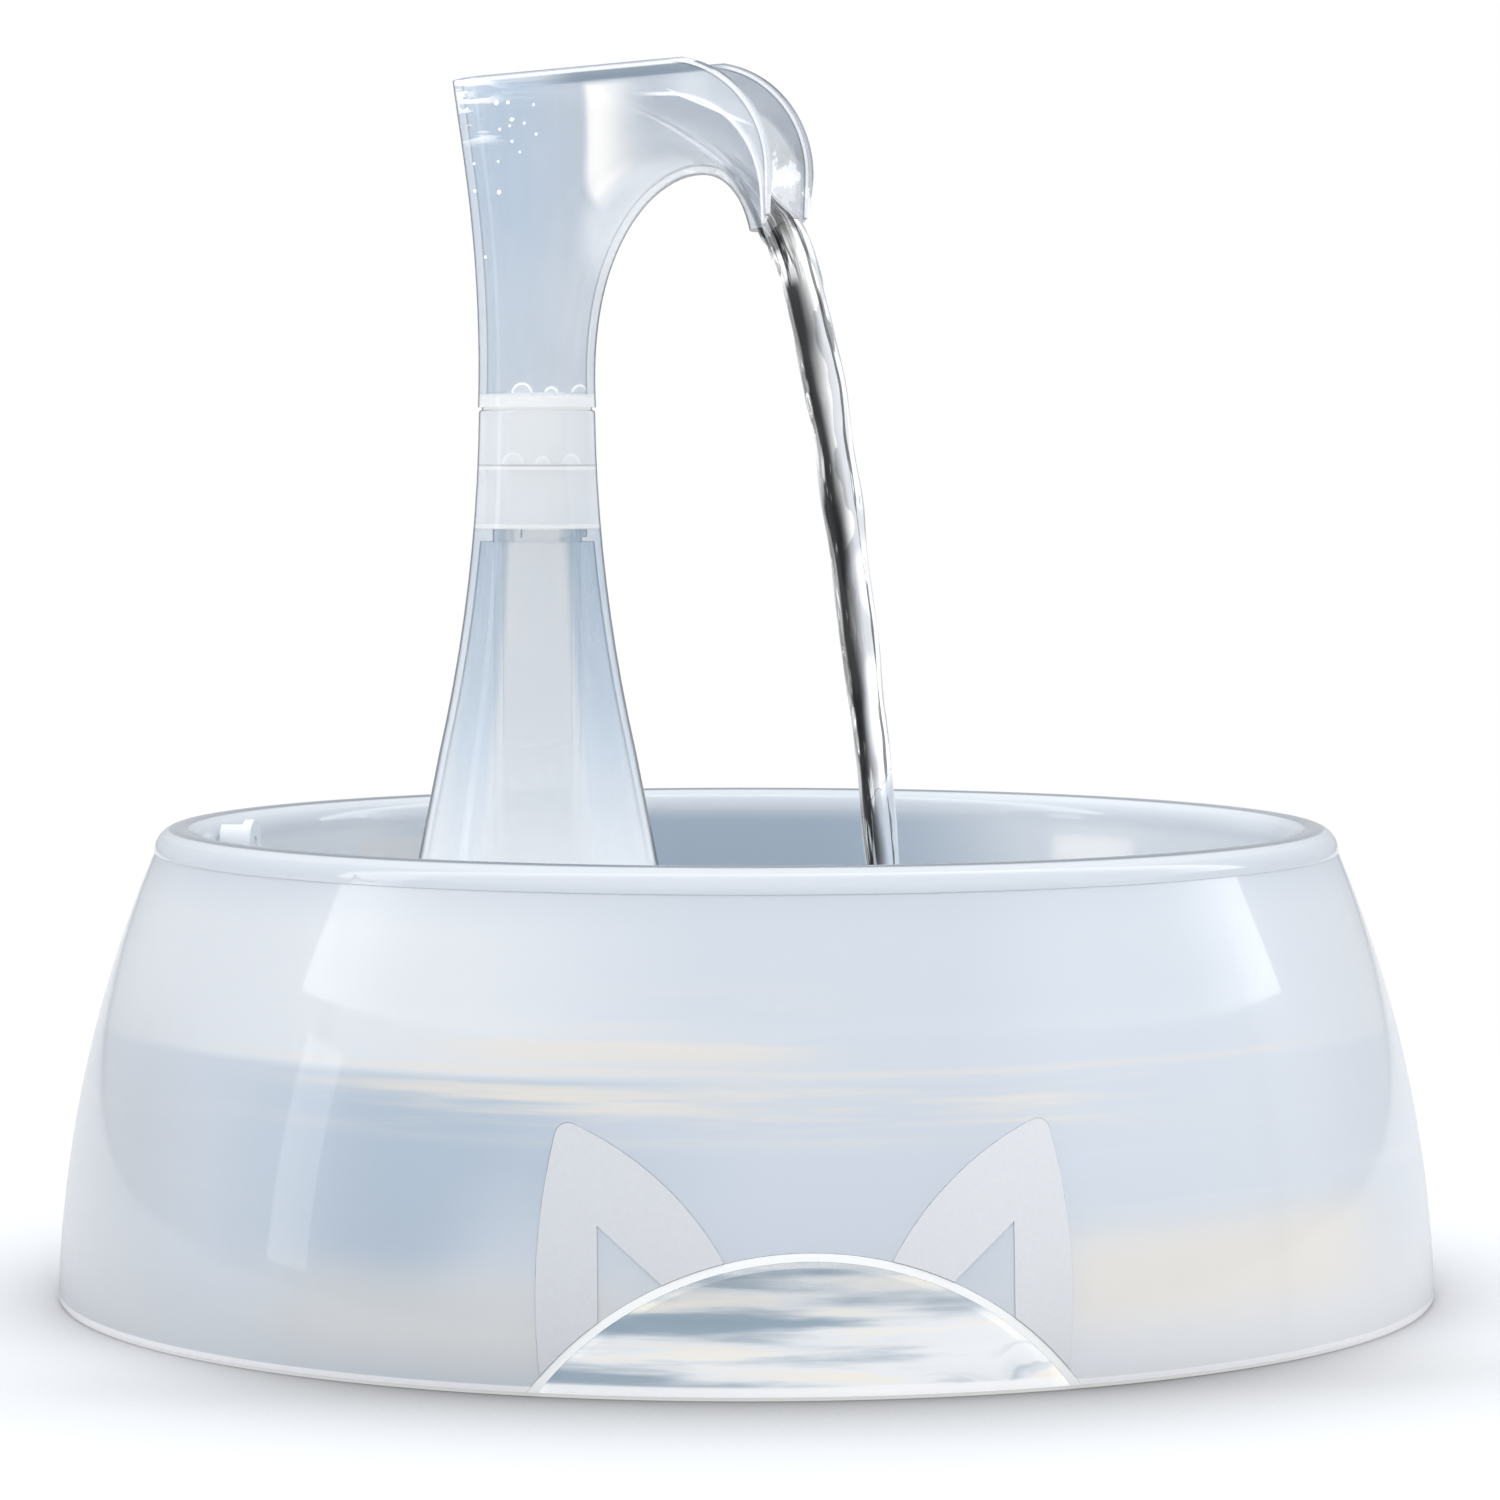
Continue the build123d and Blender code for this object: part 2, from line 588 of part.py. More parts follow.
def cable_gland():
    nut = x_rod(GLAND_R, HOUSING_BACK_X - GLAND_L, HOUSING_BACK_X, GLAND_Z)
    nut = chamfer(nut.edges().sort_by(Axis.X)[0], GLAND_R - GLAND_BORE_R - 1)
    return nut - x_rod(GLAND_BORE_R, HOUSING_BACK_X - GLAND_L, HOUSING_BACK_X, GLAND_Z)


def suction_cups():
    flange_z = HOUSING_BASE_Z - CUP_FLANGE_T
    outline = Polyline(rz(0, HOUSING_BASE_Z + HOUSING_WALL), rz(CUP_STEM_R, HOUSING_BASE_Z + HOUSING_WALL),
                       rz(CUP_STEM_R, HOUSING_BASE_Z), rz(CUP_NECK_R, HOUSING_BASE_Z), rz(CUP_NECK_R, flange_z),
                       rz(CUP_R, BOWL_FLOOR_Z), rz(CUP_R - CUP_LIP, BOWL_FLOOR_Z),
                       rz(0, BOWL_FLOOR_Z + CUP_HOLLOW), close=True)
    cup = turned(outline)
    return Compound([Pos(x, y, 0) * cup for x, y in cup_places()])


def impeller_chamber():
    body = x_rod(CHAMBER_R, HOUSING_FRONT_X, CHAMBER_FRONT_X)
    body += rod(NOZZLE_R, ROTOR_Z, NOZZLE_TOP_Z) + rod(RISER_R, COLLAR_Z0, COLLAR_Z0 + COLLAR_H)
    body -= x_rod(CHAMBER_BORE_R, HOUSING_FRONT_X, CHAMBER_FRONT_X) + rod(NOZZLE_BORE_R, ROTOR_Z, NOZZLE_TOP_Z)
    body -= seal_groove(0)
    return body - box(-NOZZLE_R, BASE_FRONT_X, -HOUSING_HALF_W, HOUSING_HALF_W, 0,
                      HOUSING_BASE_Z + HOUSING_WALL)


def seal_groove(gap):
    middle = (CHAMBER_R + CHAMBER_BORE_R) / 2
    half = SEAL_GROOVE_W / 2 - gap
    return x_ring(middle + half, middle - half, HOUSING_FRONT_X, HOUSING_FRONT_X + SEAL_GROOVE_H - gap)


def chamber_seal():
    return seal_groove(SEAL_RING_GAP)


def riser_tube():
    return ring(RISER_R, RISER_BORE_R, RISER_BASE_Z, RISER_TOP_Z)


def magnet_rotor():
    return x_ring(MAGNET_R, SHAFT_R + SHAFT_FIT, MAGNET_X0, MAGNET_X1)


def impeller_blades():
    disc = x_rod(BLADE_R, BLADE_DISC_X0, BLADE_DISC_X0 + BLADE_DISC_T)
    wheel = disc + x_rod(HUB_R, MAGNET_X1, HUB_X1)
    blade = box(BLADE_DISC_X0, BLADE_X1, -BLADE_T / 2, BLADE_T / 2, 0, BLADE_R)
    for step in range(BLADE_COUNT):
        wheel += Pos(0, 0, ROTOR_Z) * Rot(step * 360 / BLADE_COUNT, 0, 0) * blade
    return (wheel & x_rod(BLADE_R, MAGNET_X1, HUB_X1)) - x_rod(SHAFT_R + SHAFT_FIT, MAGNET_X1, HUB_X1)


def impeller_shaft():
    return x_rod(SHAFT_R, HOUSING_BACK_X + HOUSING_WALL, COVER_X1)


def rear_bush():
    return x_ring(BUSH_R, SHAFT_R, HOUSING_BACK_X + HOUSING_WALL, MAGNET_X0 - BUSH_END_GAP)


def front_bush():
    return x_ring(BUSH_R, SHAFT_R, CHAMBER_FRONT_X, COVER_X1)


def port_bars(x0, x1):
    """Round bars through the intake ports, which the cover and the dial share."""
    bars = x_rod(INTAKE_PORT_R, x0, x1, ROTOR_Z + INTAKE_PORT_PLACE_R)
    turns = [Rot(step * 360 / INTAKE_PORTS, 0, 0) for step in range(INTAKE_PORTS)]
    return [Pos(0, 0, ROTOR_Z) * turn * Pos(0, 0, -ROTOR_Z) * bars for turn in turns]


def impeller_cover():
    plate = x_rod(CHAMBER_R, CHAMBER_FRONT_X, COVER_X1)
    plate += x_rod(COVER_BOSS_R, COVER_X1, COVER_X1 + COVER_BOSS_L)
    for bar in port_bars(CHAMBER_FRONT_X, COVER_X1):
        plate -= bar
    return plate - x_rod(BUSH_R, CHAMBER_FRONT_X, COVER_X1)


def flow_dial():
    """Disc with ports that line up with the cover's, turned by a lever through the cage's top."""
    half = DIAL_LEVER_W / 2
    lever = box(DIAL_X0, DIAL_X0 + DIAL_T, 0, DIAL_LEVER_TIP_R, -half, half)
    lever = fillet(lever.edges().filter_by(Axis.X).sort_by(Axis.Y)[-2:], half * 0.9)
    disc = x_rod(DIAL_R, DIAL_X0, DIAL_X0 + DIAL_T)
    disc += Pos(0, 0, ROTOR_Z) * Rot(DIAL_REST_ANGLE, 0, 0) * lever
    for bar in port_bars(DIAL_X0, DIAL_X0 + DIAL_T):
        disc -= bar
    return disc - x_rod(COVER_BOSS_R + DIAL_FIT, DIAL_X0, DIAL_X0 + DIAL_T)


def filter_cage():
    """Slotted box that slips over the cover's edge and holds the two filter pads."""
    outer = CAGE_HALF + CAGE_WALL
    cage = box(CAGE_X0, CAGE_X1, -outer, outer, ROTOR_Z - outer, ROTOR_Z + outer)
    cage = fillet(cage.edges().filter_by(Axis.X), CAGE_WALL)
    cage -= box(CAGE_X0, CAGE_X1 - CAGE_WALL, -CAGE_HALF, CAGE_HALF, ROTOR_Z - CAGE_HALF, ROTOR_Z + CAGE_HALF)
    half_h = CAGE_SLOT_H / 2
    for step in range(CAGE_SLOTS):
        y = (step - (CAGE_SLOTS - 1) / 2) * CAGE_SLOT_PITCH
        cage -= box(CAGE_X1 - CAGE_WALL, CAGE_X1, y - CAGE_SLOT_W / 2, y + CAGE_SLOT_W / 2,
                    ROTOR_Z - half_h, ROTOR_Z + half_h)
    half_sweep = radians(DIAL_TRAVEL / 2 + DIAL_SWEEP_GAP)
    slot_half = DIAL_LEVER_TIP_R * sin(half_sweep) + DIAL_LEVER_W / 2
    return cage - box(DIAL_X0 - DIAL_GAP, DIAL_X0 + DIAL_T + DIAL_GAP, -slot_half, slot_half, ROTOR_Z, REACH)


def filter_pad(x0, x1):
    half = CAGE_HALF - PAD_GAP
    return box(x0, x1, -half, half, ROTOR_Z - half, ROTOR_Z + half)


def foam_pad():
    return filter_pad(FOAM_X0, FOAM_X0 + FOAM_T)


def carbon_pad():
    start = FOAM_X0 + FOAM_T + PAD_GAP
    return filter_pad(start, start + CARBON_T)


BOWL_FRAME_NODES = {
    "outer_shell": outer_shell,
    "sight_window": sight_window,
    "window_trim": window_trim,
    "ear_motif": ear_motif,
    "rubber_feet": rubber_feet,
    "inner_bowl": inner_bowl,
    "cord_clip": cord_clip,
}

TOWER_FRAME_NODES = {
    "tower_bell": tower_bell,
    "spout": spout,
    "spout_seal": spout_seal,
    "riser_tube": riser_tube,
    "pump_housing": pump_housing,
    "stator_core": stator_core,
    "coil": coil,
    "epoxy_fill": epoxy_fill,
    "impeller_chamber": impeller_chamber,
    "chamber_seal": chamber_seal,
    "impeller_cover": impeller_cover,
    "impeller_shaft": impeller_shaft,
    "rear_bush": rear_bush,
    "front_bush": front_bush,
    "magnet_rotor": magnet_rotor,
    "impeller_blades": impeller_blades,
    "flow_dial": flow_dial,
    "filter_cage": filter_cage,
    "foam_pad": foam_pad,
    "carbon_pad": carbon_pad,
    "suction_cups": suction_cups,
    "cable_gland": cable_gland,
}


def main():
    os.makedirs("parts", exist_ok=True)
    solids = {name: make() for name, make in BOWL_FRAME_NODES.items()}
    for name, make in TOWER_FRAME_NODES.items():
        solids[name] = at_tower(make())
    for name, solid in solids.items():
        export_step(solid, f"parts/{name}.step")


main()
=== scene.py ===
"""Finishes, water and studio for a pet water fountain, laid out as a Blender add-on.

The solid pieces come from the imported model. This file gives each one its material, adds the water that
runs through the fountain, and sets up a pale studio round it. Metres, +Z up, the window faces -Y.
"""

import json
from math import cos, exp, hypot, pi, radians, sin, sqrt

import bmesh
import bpy
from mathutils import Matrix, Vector, noise


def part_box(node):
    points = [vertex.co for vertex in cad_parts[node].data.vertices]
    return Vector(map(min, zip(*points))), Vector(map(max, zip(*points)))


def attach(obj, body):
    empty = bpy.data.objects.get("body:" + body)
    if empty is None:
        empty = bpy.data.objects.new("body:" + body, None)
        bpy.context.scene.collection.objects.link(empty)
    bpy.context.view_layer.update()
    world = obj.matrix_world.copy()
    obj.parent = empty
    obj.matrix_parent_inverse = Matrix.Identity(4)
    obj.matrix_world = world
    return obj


bl_info = {
    "name": "Pet Water Fountain",
    "version": (1, 0, 0),
    "blender": (4, 5, 0),
    "location": "3D View > Sidebar > Fountain",
    "description": "Finishes, water and studio for a clear pet water fountain",
    "category": "Object",
}

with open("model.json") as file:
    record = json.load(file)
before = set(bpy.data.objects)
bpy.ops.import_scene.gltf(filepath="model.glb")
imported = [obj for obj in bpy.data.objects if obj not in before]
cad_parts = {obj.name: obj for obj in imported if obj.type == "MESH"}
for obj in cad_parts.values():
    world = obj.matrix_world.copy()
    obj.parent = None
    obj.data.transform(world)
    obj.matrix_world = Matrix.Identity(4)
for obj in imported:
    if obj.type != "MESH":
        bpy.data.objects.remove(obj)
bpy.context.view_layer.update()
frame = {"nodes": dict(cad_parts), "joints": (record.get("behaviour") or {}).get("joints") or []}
NODES = frame["nodes"]
JOINTS = {joint["name"]: joint for joint in frame["joints"]}

BELL_LOW, BELL_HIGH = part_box("tower_bell")
TOWER = (BELL_LOW + BELL_HIGH) / 2
BOWL_LOW, BOWL_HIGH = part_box("inner_bowl")
SHELL_LOW, SHELL_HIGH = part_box("outer_shell")
# The spout points along the axis of the pump's impeller
SPOUT_WAY = Vector(JOINTS["impeller_spin"]["axis"])
ACROSS = Vector((-SPOUT_WAY.y, SPOUT_WAY.x, 0))


def in_spout(along, height, across=0.0):
    """A point from the tower's axis: along the spout, up, and across it."""
    return Vector((TOWER.x, TOWER.y, height)) + SPOUT_WAY * along + ACROSS * across


class FountainSizes(bpy.types.PropertyGroup):
    """Sizes of the water and of its small pieces."""
    water_level: bpy.props.FloatProperty(
        name="Water level", description="Height of the pool above the table",
        default=0.0575, unit="LENGTH")
    bowl_wall: bpy.props.FloatProperty(
        name="Bowl wall", description="Thickness of the bowl's wall", default=0.0022, unit="LENGTH")
    bowl_taper: bpy.props.FloatProperty(
        name="Bowl taper", description="How much the bowl narrows to its floor",
        default=0.0023, unit="LENGTH")
    bowl_corner: bpy.props.FloatProperty(
        name="Bowl corner", description="Radius between the bowl's wall and floor",
        default=0.014, unit="LENGTH")
    film: bpy.props.FloatProperty(
        name="Water gap", description="Gap left between the water and its walls",
        default=0.0003, unit="LENGTH")
    ripple: bpy.props.FloatProperty(
        name="Ripple", description="Height of the rings where the stream lands",
        default=0.0011, unit="LENGTH")
    stream_top: bpy.props.FloatProperty(
        name="Stream top", description="Stream's half width at the mouth",
        default=0.0050, unit="LENGTH")
    stream_low: bpy.props.FloatProperty(
        name="Stream foot", description="Stream's half width at the pool",
        default=0.0033, unit="LENGTH")
    droplet: bpy.props.FloatProperty(
        name="Droplet", description="Radius of the drops on the spout", default=0.0011, unit="LENGTH")


class FountainColours(bpy.types.PropertyGroup):
    """Colours of the fountain's finishes."""
    frosted: bpy.props.FloatVectorProperty(
        name="Frosted shell", description="Shell above the water", default=(0.90, 0.92, 0.94),
        size=3, subtype="COLOR")
    # Shell below the water, also used as the painted shade under the rim
    submerged_and_shade: bpy.props.FloatVectorProperty(
        name="Shell below water", description="Shell where water stands behind it",
        default=(0.76, 0.81, 0.87), size=3, subtype="COLOR")
    deep: bpy.props.FloatVectorProperty(
        name="Deep water", description="Darkest patch of the water behind the shell",
        default=(0.58, 0.67, 0.76), size=3, subtype="COLOR")
    # Painted warm glints, in the shell and in the spout's bend
    warm_glint: bpy.props.FloatVectorProperty(
        name="Warm glint", description="Warm streaks in the shell", default=(0.95, 0.90, 0.82),
        size=3, subtype="COLOR")
    clear: bpy.props.FloatVectorProperty(
        name="Clear plastic", description="Tint of the clear spout", default=(0.50, 0.61, 0.73),
        size=3, subtype="COLOR")
    milky: bpy.props.FloatVectorProperty(
        name="Milky trim", description="Trim round the window", default=(0.92, 0.92, 0.90),
        size=3, subtype="COLOR")
    ears: bpy.props.FloatVectorProperty(
        name="Ears", description="Matt ear motifs", default=(0.65, 0.66, 0.68), size=3, subtype="COLOR")
    water: bpy.props.FloatVectorProperty(
        name="Water", description="Tint of the pool", default=(0.93, 0.97, 1.0),
        size=3, subtype="COLOR")
    floor: bpy.props.FloatVectorProperty(
        name="Floor", description="Studio floor", default=(0.80, 0.80, 0.80), size=3, subtype="COLOR")


WHITE = (1.0, 1.0, 1.0)
OFF_WHITE = (0.98, 0.98, 0.98)
BLACK = (0.0, 0.0, 0.0)


def sizes():
    """The scene's own values for the sizes."""
    return bpy.context.scene.fountain_sizes


def colours():
    """The scene's own values for the colours."""
    return bpy.context.scene.fountain_colours


class Signal:
    """A shader socket that takes part in plain arithmetic."""

    def __init__(self, net, socket):
        self.net, self.socket = net, socket

    def maths(self, operation, *others, clamp=False):
        """A maths node with this signal first."""
        return self.net.add("ShaderNodeMath", {"operation": operation, "use_clamp": clamp},
                            {index: value for index, value in enumerate((self,) + others)})

    def __add__(self, other):
        return self.maths("ADD", other)

    def __sub__(self, other):
        return self.maths("SUBTRACT", other)

    def __rsub__(self, other):
        return self.net.add("ShaderNodeMath", {"operation": "SUBTRACT"}, {0: other, 1: self})

    def __mul__(self, other):
        return self.maths("MULTIPLY", other)

    def __truediv__(self, other):
        return self.maths("DIVIDE", other)

    def __pow__(self, other):
        return self.maths("POWER", other)

    def __abs__(self):
        return self.maths("ABSOLUTE")

    __radd__ = __add__
    __rmul__ = __mul__

    def clamped(self):
        """The signal kept between 0 and 1."""
        return self.maths("ADD", 0.0, clamp=True)

    def step(self, low, high):
        """0 below low and 1 above high, smoothly in between; low may be the larger."""
        return self.net.add("ShaderNodeMapRange", {"interpolation_type": "SMOOTHSTEP"},
                            {"Value": self, "From Min": low, "From Max": high})

    def band(self, centre, half, soft):
        """1 within half of the centre, falling to 0 over the soft distance."""
        return abs(self - centre).step(half + soft, half)


class Net:
    """The node tree of a new material, or of a world that is given."""

    def __init__(self, name, world=None):
        self.owner = world or bpy.data.materials.new(name)
        self.owner.use_nodes = True
        self.tree = self.owner.node_tree
        self.tree.nodes.clear()

    def make(self, kind, settings=None, inputs=None):
        """A node with its settings, each input linked to a signal or set to a value."""
        node = self.tree.nodes.new(kind)
        for key, value in (settings or {}).items():
            setattr(node, key, value)
        for key, value in (inputs or {}).items():
            socket = node.inputs[key]
            if isinstance(value, Signal):
                self.tree.links.new(value.socket, socket)
            elif getattr(socket, "type", "") == "RGBA" and len(tuple(value)) == 3:
                socket.default_value = (*value, 1.0)
            else:
                socket.default_value = value
        return node

    def add(self, kind, settings=None, inputs=None, output=0):
        """One output of a new node."""
        return Signal(self, self.make(kind, settings, inputs).outputs[output])

    def split(self, vector):
        """The three parts of a vector."""
        parts = self.make("ShaderNodeSeparateXYZ", inputs={0: vector}).outputs
        return [Signal(self, part) for part in parts]

    def joined(self, *parts):
        """A vector made of three parts."""
        return self.add("ShaderNodeCombineXYZ", inputs=dict(enumerate(parts)))

    def place(self):
        """X, Y and Z of the point on the surface, in the object's own metres."""
        return self.split(self.add("ShaderNodeTexCoord", output="Object"))

    def stretched(self, scale):
        """The surface point scaled by a different amount along each axis."""
        point = self.add("ShaderNodeTexCoord", output="Object")
        return self.add("ShaderNodeVectorMath", {"operation": "MULTIPLY"}, {0: point, 1: scale})

    def noise(self, scale, detail=3.0, rough=0.5):
        """Noise over the surface, scaled along each axis, or over a vector given in its place."""
        at = scale if isinstance(scale, Signal) else self.stretched(scale)
        inputs = {"Scale": 1.0, "Detail": detail, "Roughness": rough, "Vector": at}
        return self.add("ShaderNodeTexNoise", {"noise_dimensions": "3D"}, inputs, "Fac")

    def mix(self, mask, first, second):
        """The first colour where the mask is 0, the second where it is 1."""
        return self.add("ShaderNodeMix", {"data_type": "RGBA"}, {0: mask, 6: first, 7: second}, 2)

    def coats(self, colour, *layers):
        """A colour with others laid over it in turn, each by a mask of its own."""
        for mask, over in layers:
            colour = self.mix(mask, colour, over)
        return colour

    def blend(self, mask, first, second):
        """The first shader where the mask is 0, the second where it is 1."""
        return self.add("ShaderNodeMixShader", inputs={0: mask, 1: first, 2: second})

    def facing(self):
        """0 where the surface faces the viewer and 1 where it turns away."""
        return self.add("ShaderNodeLayerWeight", inputs={"Blend": 0.5}, output="Facing")

    def bump(self, height, distance, strength=1.0):
        """A normal bent by a height, over a distance in metres."""
        inputs = {"Strength": strength, "Distance": distance, "Height": height}
        return self.add("ShaderNodeBump", inputs=inputs)

    def principled(self, **values):
        """A Principled shader; words in the names are joined as Blender spells its sockets."""
        inputs = {key.replace("_", " ").title().replace("Ior", "IOR"): value
                  for key, value in values.items()}
        return self.add("ShaderNodeBsdfPrincipled", inputs=inputs, output="BSDF")

    def translucent(self, colour):
        """A shader that lets light through from behind."""
        return self.add("ShaderNodeBsdfTranslucent", inputs={"Color": colour})

    def finish(self, shader):
        """Ends the tree with this shader and returns the material."""
        self.make("ShaderNodeOutputMaterial", inputs={"Surface": shader})
        return self.owner


POOL_LINE_WAVE = 0.003
POOL_LINE_SOFT = 0.0010
SHELL_GLOW = 0.12
SHELL_MILK = 0.25


def frosted_shell():
    """Frosted polypropylene with a glossy skin, darker and bluer where water stands behind it; painted
    shade under the rim and at the left, a painted floor reflection low down, painted warm glints, and a
    painted glow along the foot and on the right.
    """
    net = Net("frosted_shell")
    own = colours()
    level = sizes().water_level
    x, _, z = net.place()
    cloud = net.noise((13, 13, 22), detail=2)
    streaks = net.noise((9, 9, 170), detail=4, rough=0.55)
    line = z + (cloud - 0.5) * POOL_LINE_WAVE
    wet = line.step(level + POOL_LINE_SOFT, level - POOL_LINE_SOFT)
    blue_middle = x.band(0.03, 0.045, 0.05) * 0.8
    # Painted shade just under the rolled rim
    rim_shade = z.step(0.082, 0.091) * 0.5
    dry = net.coats(own.frosted, (blue_middle, own.submerged_and_shade), (rim_shade, own.submerged_and_shade))
    pale_right = x.step(0.03, 0.13) * 0.55 + streaks.step(0.5, 0.8) * 0.3
    dark_patch = x.band(-0.062, 0.012, 0.045) * z.band(0.038, 0.012, 0.026) * cloud.step(0.25, 0.6)
    # Painted reflection of the floor low down, grey at the left and near white at the right
    floor_reflection = net.mix(x.step(-0.02, 0.08), (0.74, 0.76, 0.78), (0.95, 0.94, 0.93))
    pool = net.coats(own.submerged_and_shade, (pale_right.clamped(), own.frosted),
                     (dark_patch.clamped(), own.deep), (z.step(0.024, 0.008) * 0.6, floor_reflection))
    # Painted shade on the left flank, where the shell turns away
    left_shade = x.step(-0.105, -0.128) * z.step(0.075, 0.045) * 0.7
    # Painted warm glints along the pool's line and low down beside the window, and a painted bright line
    # just above the pool's line
    warm = (z.band(0.0665, 0.002, 0.008) * x.band(-0.034, 0.018, 0.03) * streaks.step(0.40, 0.62)
            + z.band(0.0525, 0.002, 0.006) * x.band(-0.01, 0.05, 0.05) * streaks.step(0.44, 0.64)
            + z.band(0.020, 0.003, 0.011) * x.band(0.080, 0.022, 0.026) * 0.85
            + z.band(0.014, 0.003, 0.010) * x.band(-0.062, 0.02, 0.03) * 0.4)
    brim = line.band(level + 0.0016, 0.0002, 0.0009) * x.step(-0.112, -0.09) * x.step(0.112, 0.09)
    # Painted highlight along the shell's foot, which also glows
    edge = z.step(SHELL_LOW.z + 0.0012, SHELL_LOW.z + 0.0009)
    body = net.coats(dry, (wet, pool), (left_shade, (0.72, 0.74, 0.76)),
                     ((warm * 0.95 + brim * 0.35).clamped(), own.warm_glint), (edge, (0.97, 0.97, 0.98)))
    # Painted glow on the right
    lit_right = x.band(0.075, 0.02, 0.03) * 0.4
    fine = net.noise((900, 900, 900), detail=2)
    plastic = net.principled(
        base_color=body, roughness=0.24 + (fine - 0.5) * 0.08, ior=1.49, coat_weight=1.0,
        coat_roughness=0.03, emission_color=net.mix((edge + lit_right).clamped(), BLACK, WHITE),
        emission_strength=SHELL_GLOW)
    return net.finish(net.blend(SHELL_MILK, plastic, net.translucent(body)))


MILK_GLOW = 0.55
OUTLINE_FROM = 0.70
OUTLINE_FULL = 0.86
OUTLINE_DARK = (0.05, 0.06, 0.07)


def see_through(net, tint, body, edge=0.55, bright=0.0, line=1.0):
    """Thin clear plastic: straight through at a right angle, with a thin painted dark line where it
    turns, and a painted glow where bright is given.
    """
    facing = net.facing()
    # A painted dark line where the surface turns away, for the dark a clear edge shows
    outline = facing.step(OUTLINE_FROM, OUTLINE_FULL) * line
    shade = net.mix((outline * 0.95).clamped(), tint, OUTLINE_DARK)
    # bright paints a glow in the plastic's own tint
    front = net.principled(base_color=shade, roughness=0.12, ior=1.46, emission_strength=MILK_GLOW,
                           emission_color=net.mix(bright, BLACK, shade))
    milk = net.blend(0.5, front, net.translucent(shade))
    through = net.add("ShaderNodeBsdfTransparent")
    solid = (body + facing ** 4.0 * edge + outline * 0.5).clamped()
    skin = net.blend(solid, through, milk)
    mirror = net.add("ShaderNodeBsdfGlossy", inputs={"Color": WHITE, "Roughness": 0.03})
    return net.finish(net.blend(0.03 + facing ** 4.0 * 0.2, skin, mirror))


# Circles in the spout's plane, each as a place along it, a height and a radius
POUR_BEND = (0.0345, 0.2250, 0.0208)
UNDER_BEND = (0.0335, 0.2130, 0.0162)
LIP_BEND = (0.0335, 0.2298, 0.0238)
# A sloping line on the far lip, as a place along the spout, a height and a slope
SPLASH_LINE = (0.0348, 0.2466, 0.41)
RIM_AT_AXIS = 0.2509
RIM_CLIMB = 0.0613
CREAM_EDGE = 0.0164
SEAM_TOP = 0.1846
SEAM_MIDDLE = 0.1830
SEAM_HALF = 0.0016
LINE_TOP = 0.1702
NECK_MIDDLE = 0.1705
NECK_HALF = 0.0135
BUBBLE_PITCH = 0.0068
BUBBLE_LEAN = 0.51
BUBBLE_SMALL = 0.0015
BUBBLE_SPREAD = 0.0010
FOAM_WHITE = (0.99, 0.99, 0.98)
# Near white of painted glows and of the painted light in the water's streaks
GLOW_WHITE = (0.94, 0.95, 0.96)
# Dark blue-grey: the painted shade under the water's line in the spout, and a tone of the far lip
DARK_BLUE_GREY = (0.42, 0.47, 0.54)


def beyond_bend(along, z, bend, over=False):
    """How far a point lies outside a circle in the spout's plane; over keeps its upper right quarter."""
    x, y = along - bend[0], z - bend[1]
    if over:
        x, y = x.maths("MAXIMUM", 0.0), y.maths("MAXIMUM", 0.0)
    return (x * x + y * y) ** 0.5 - bend[2]


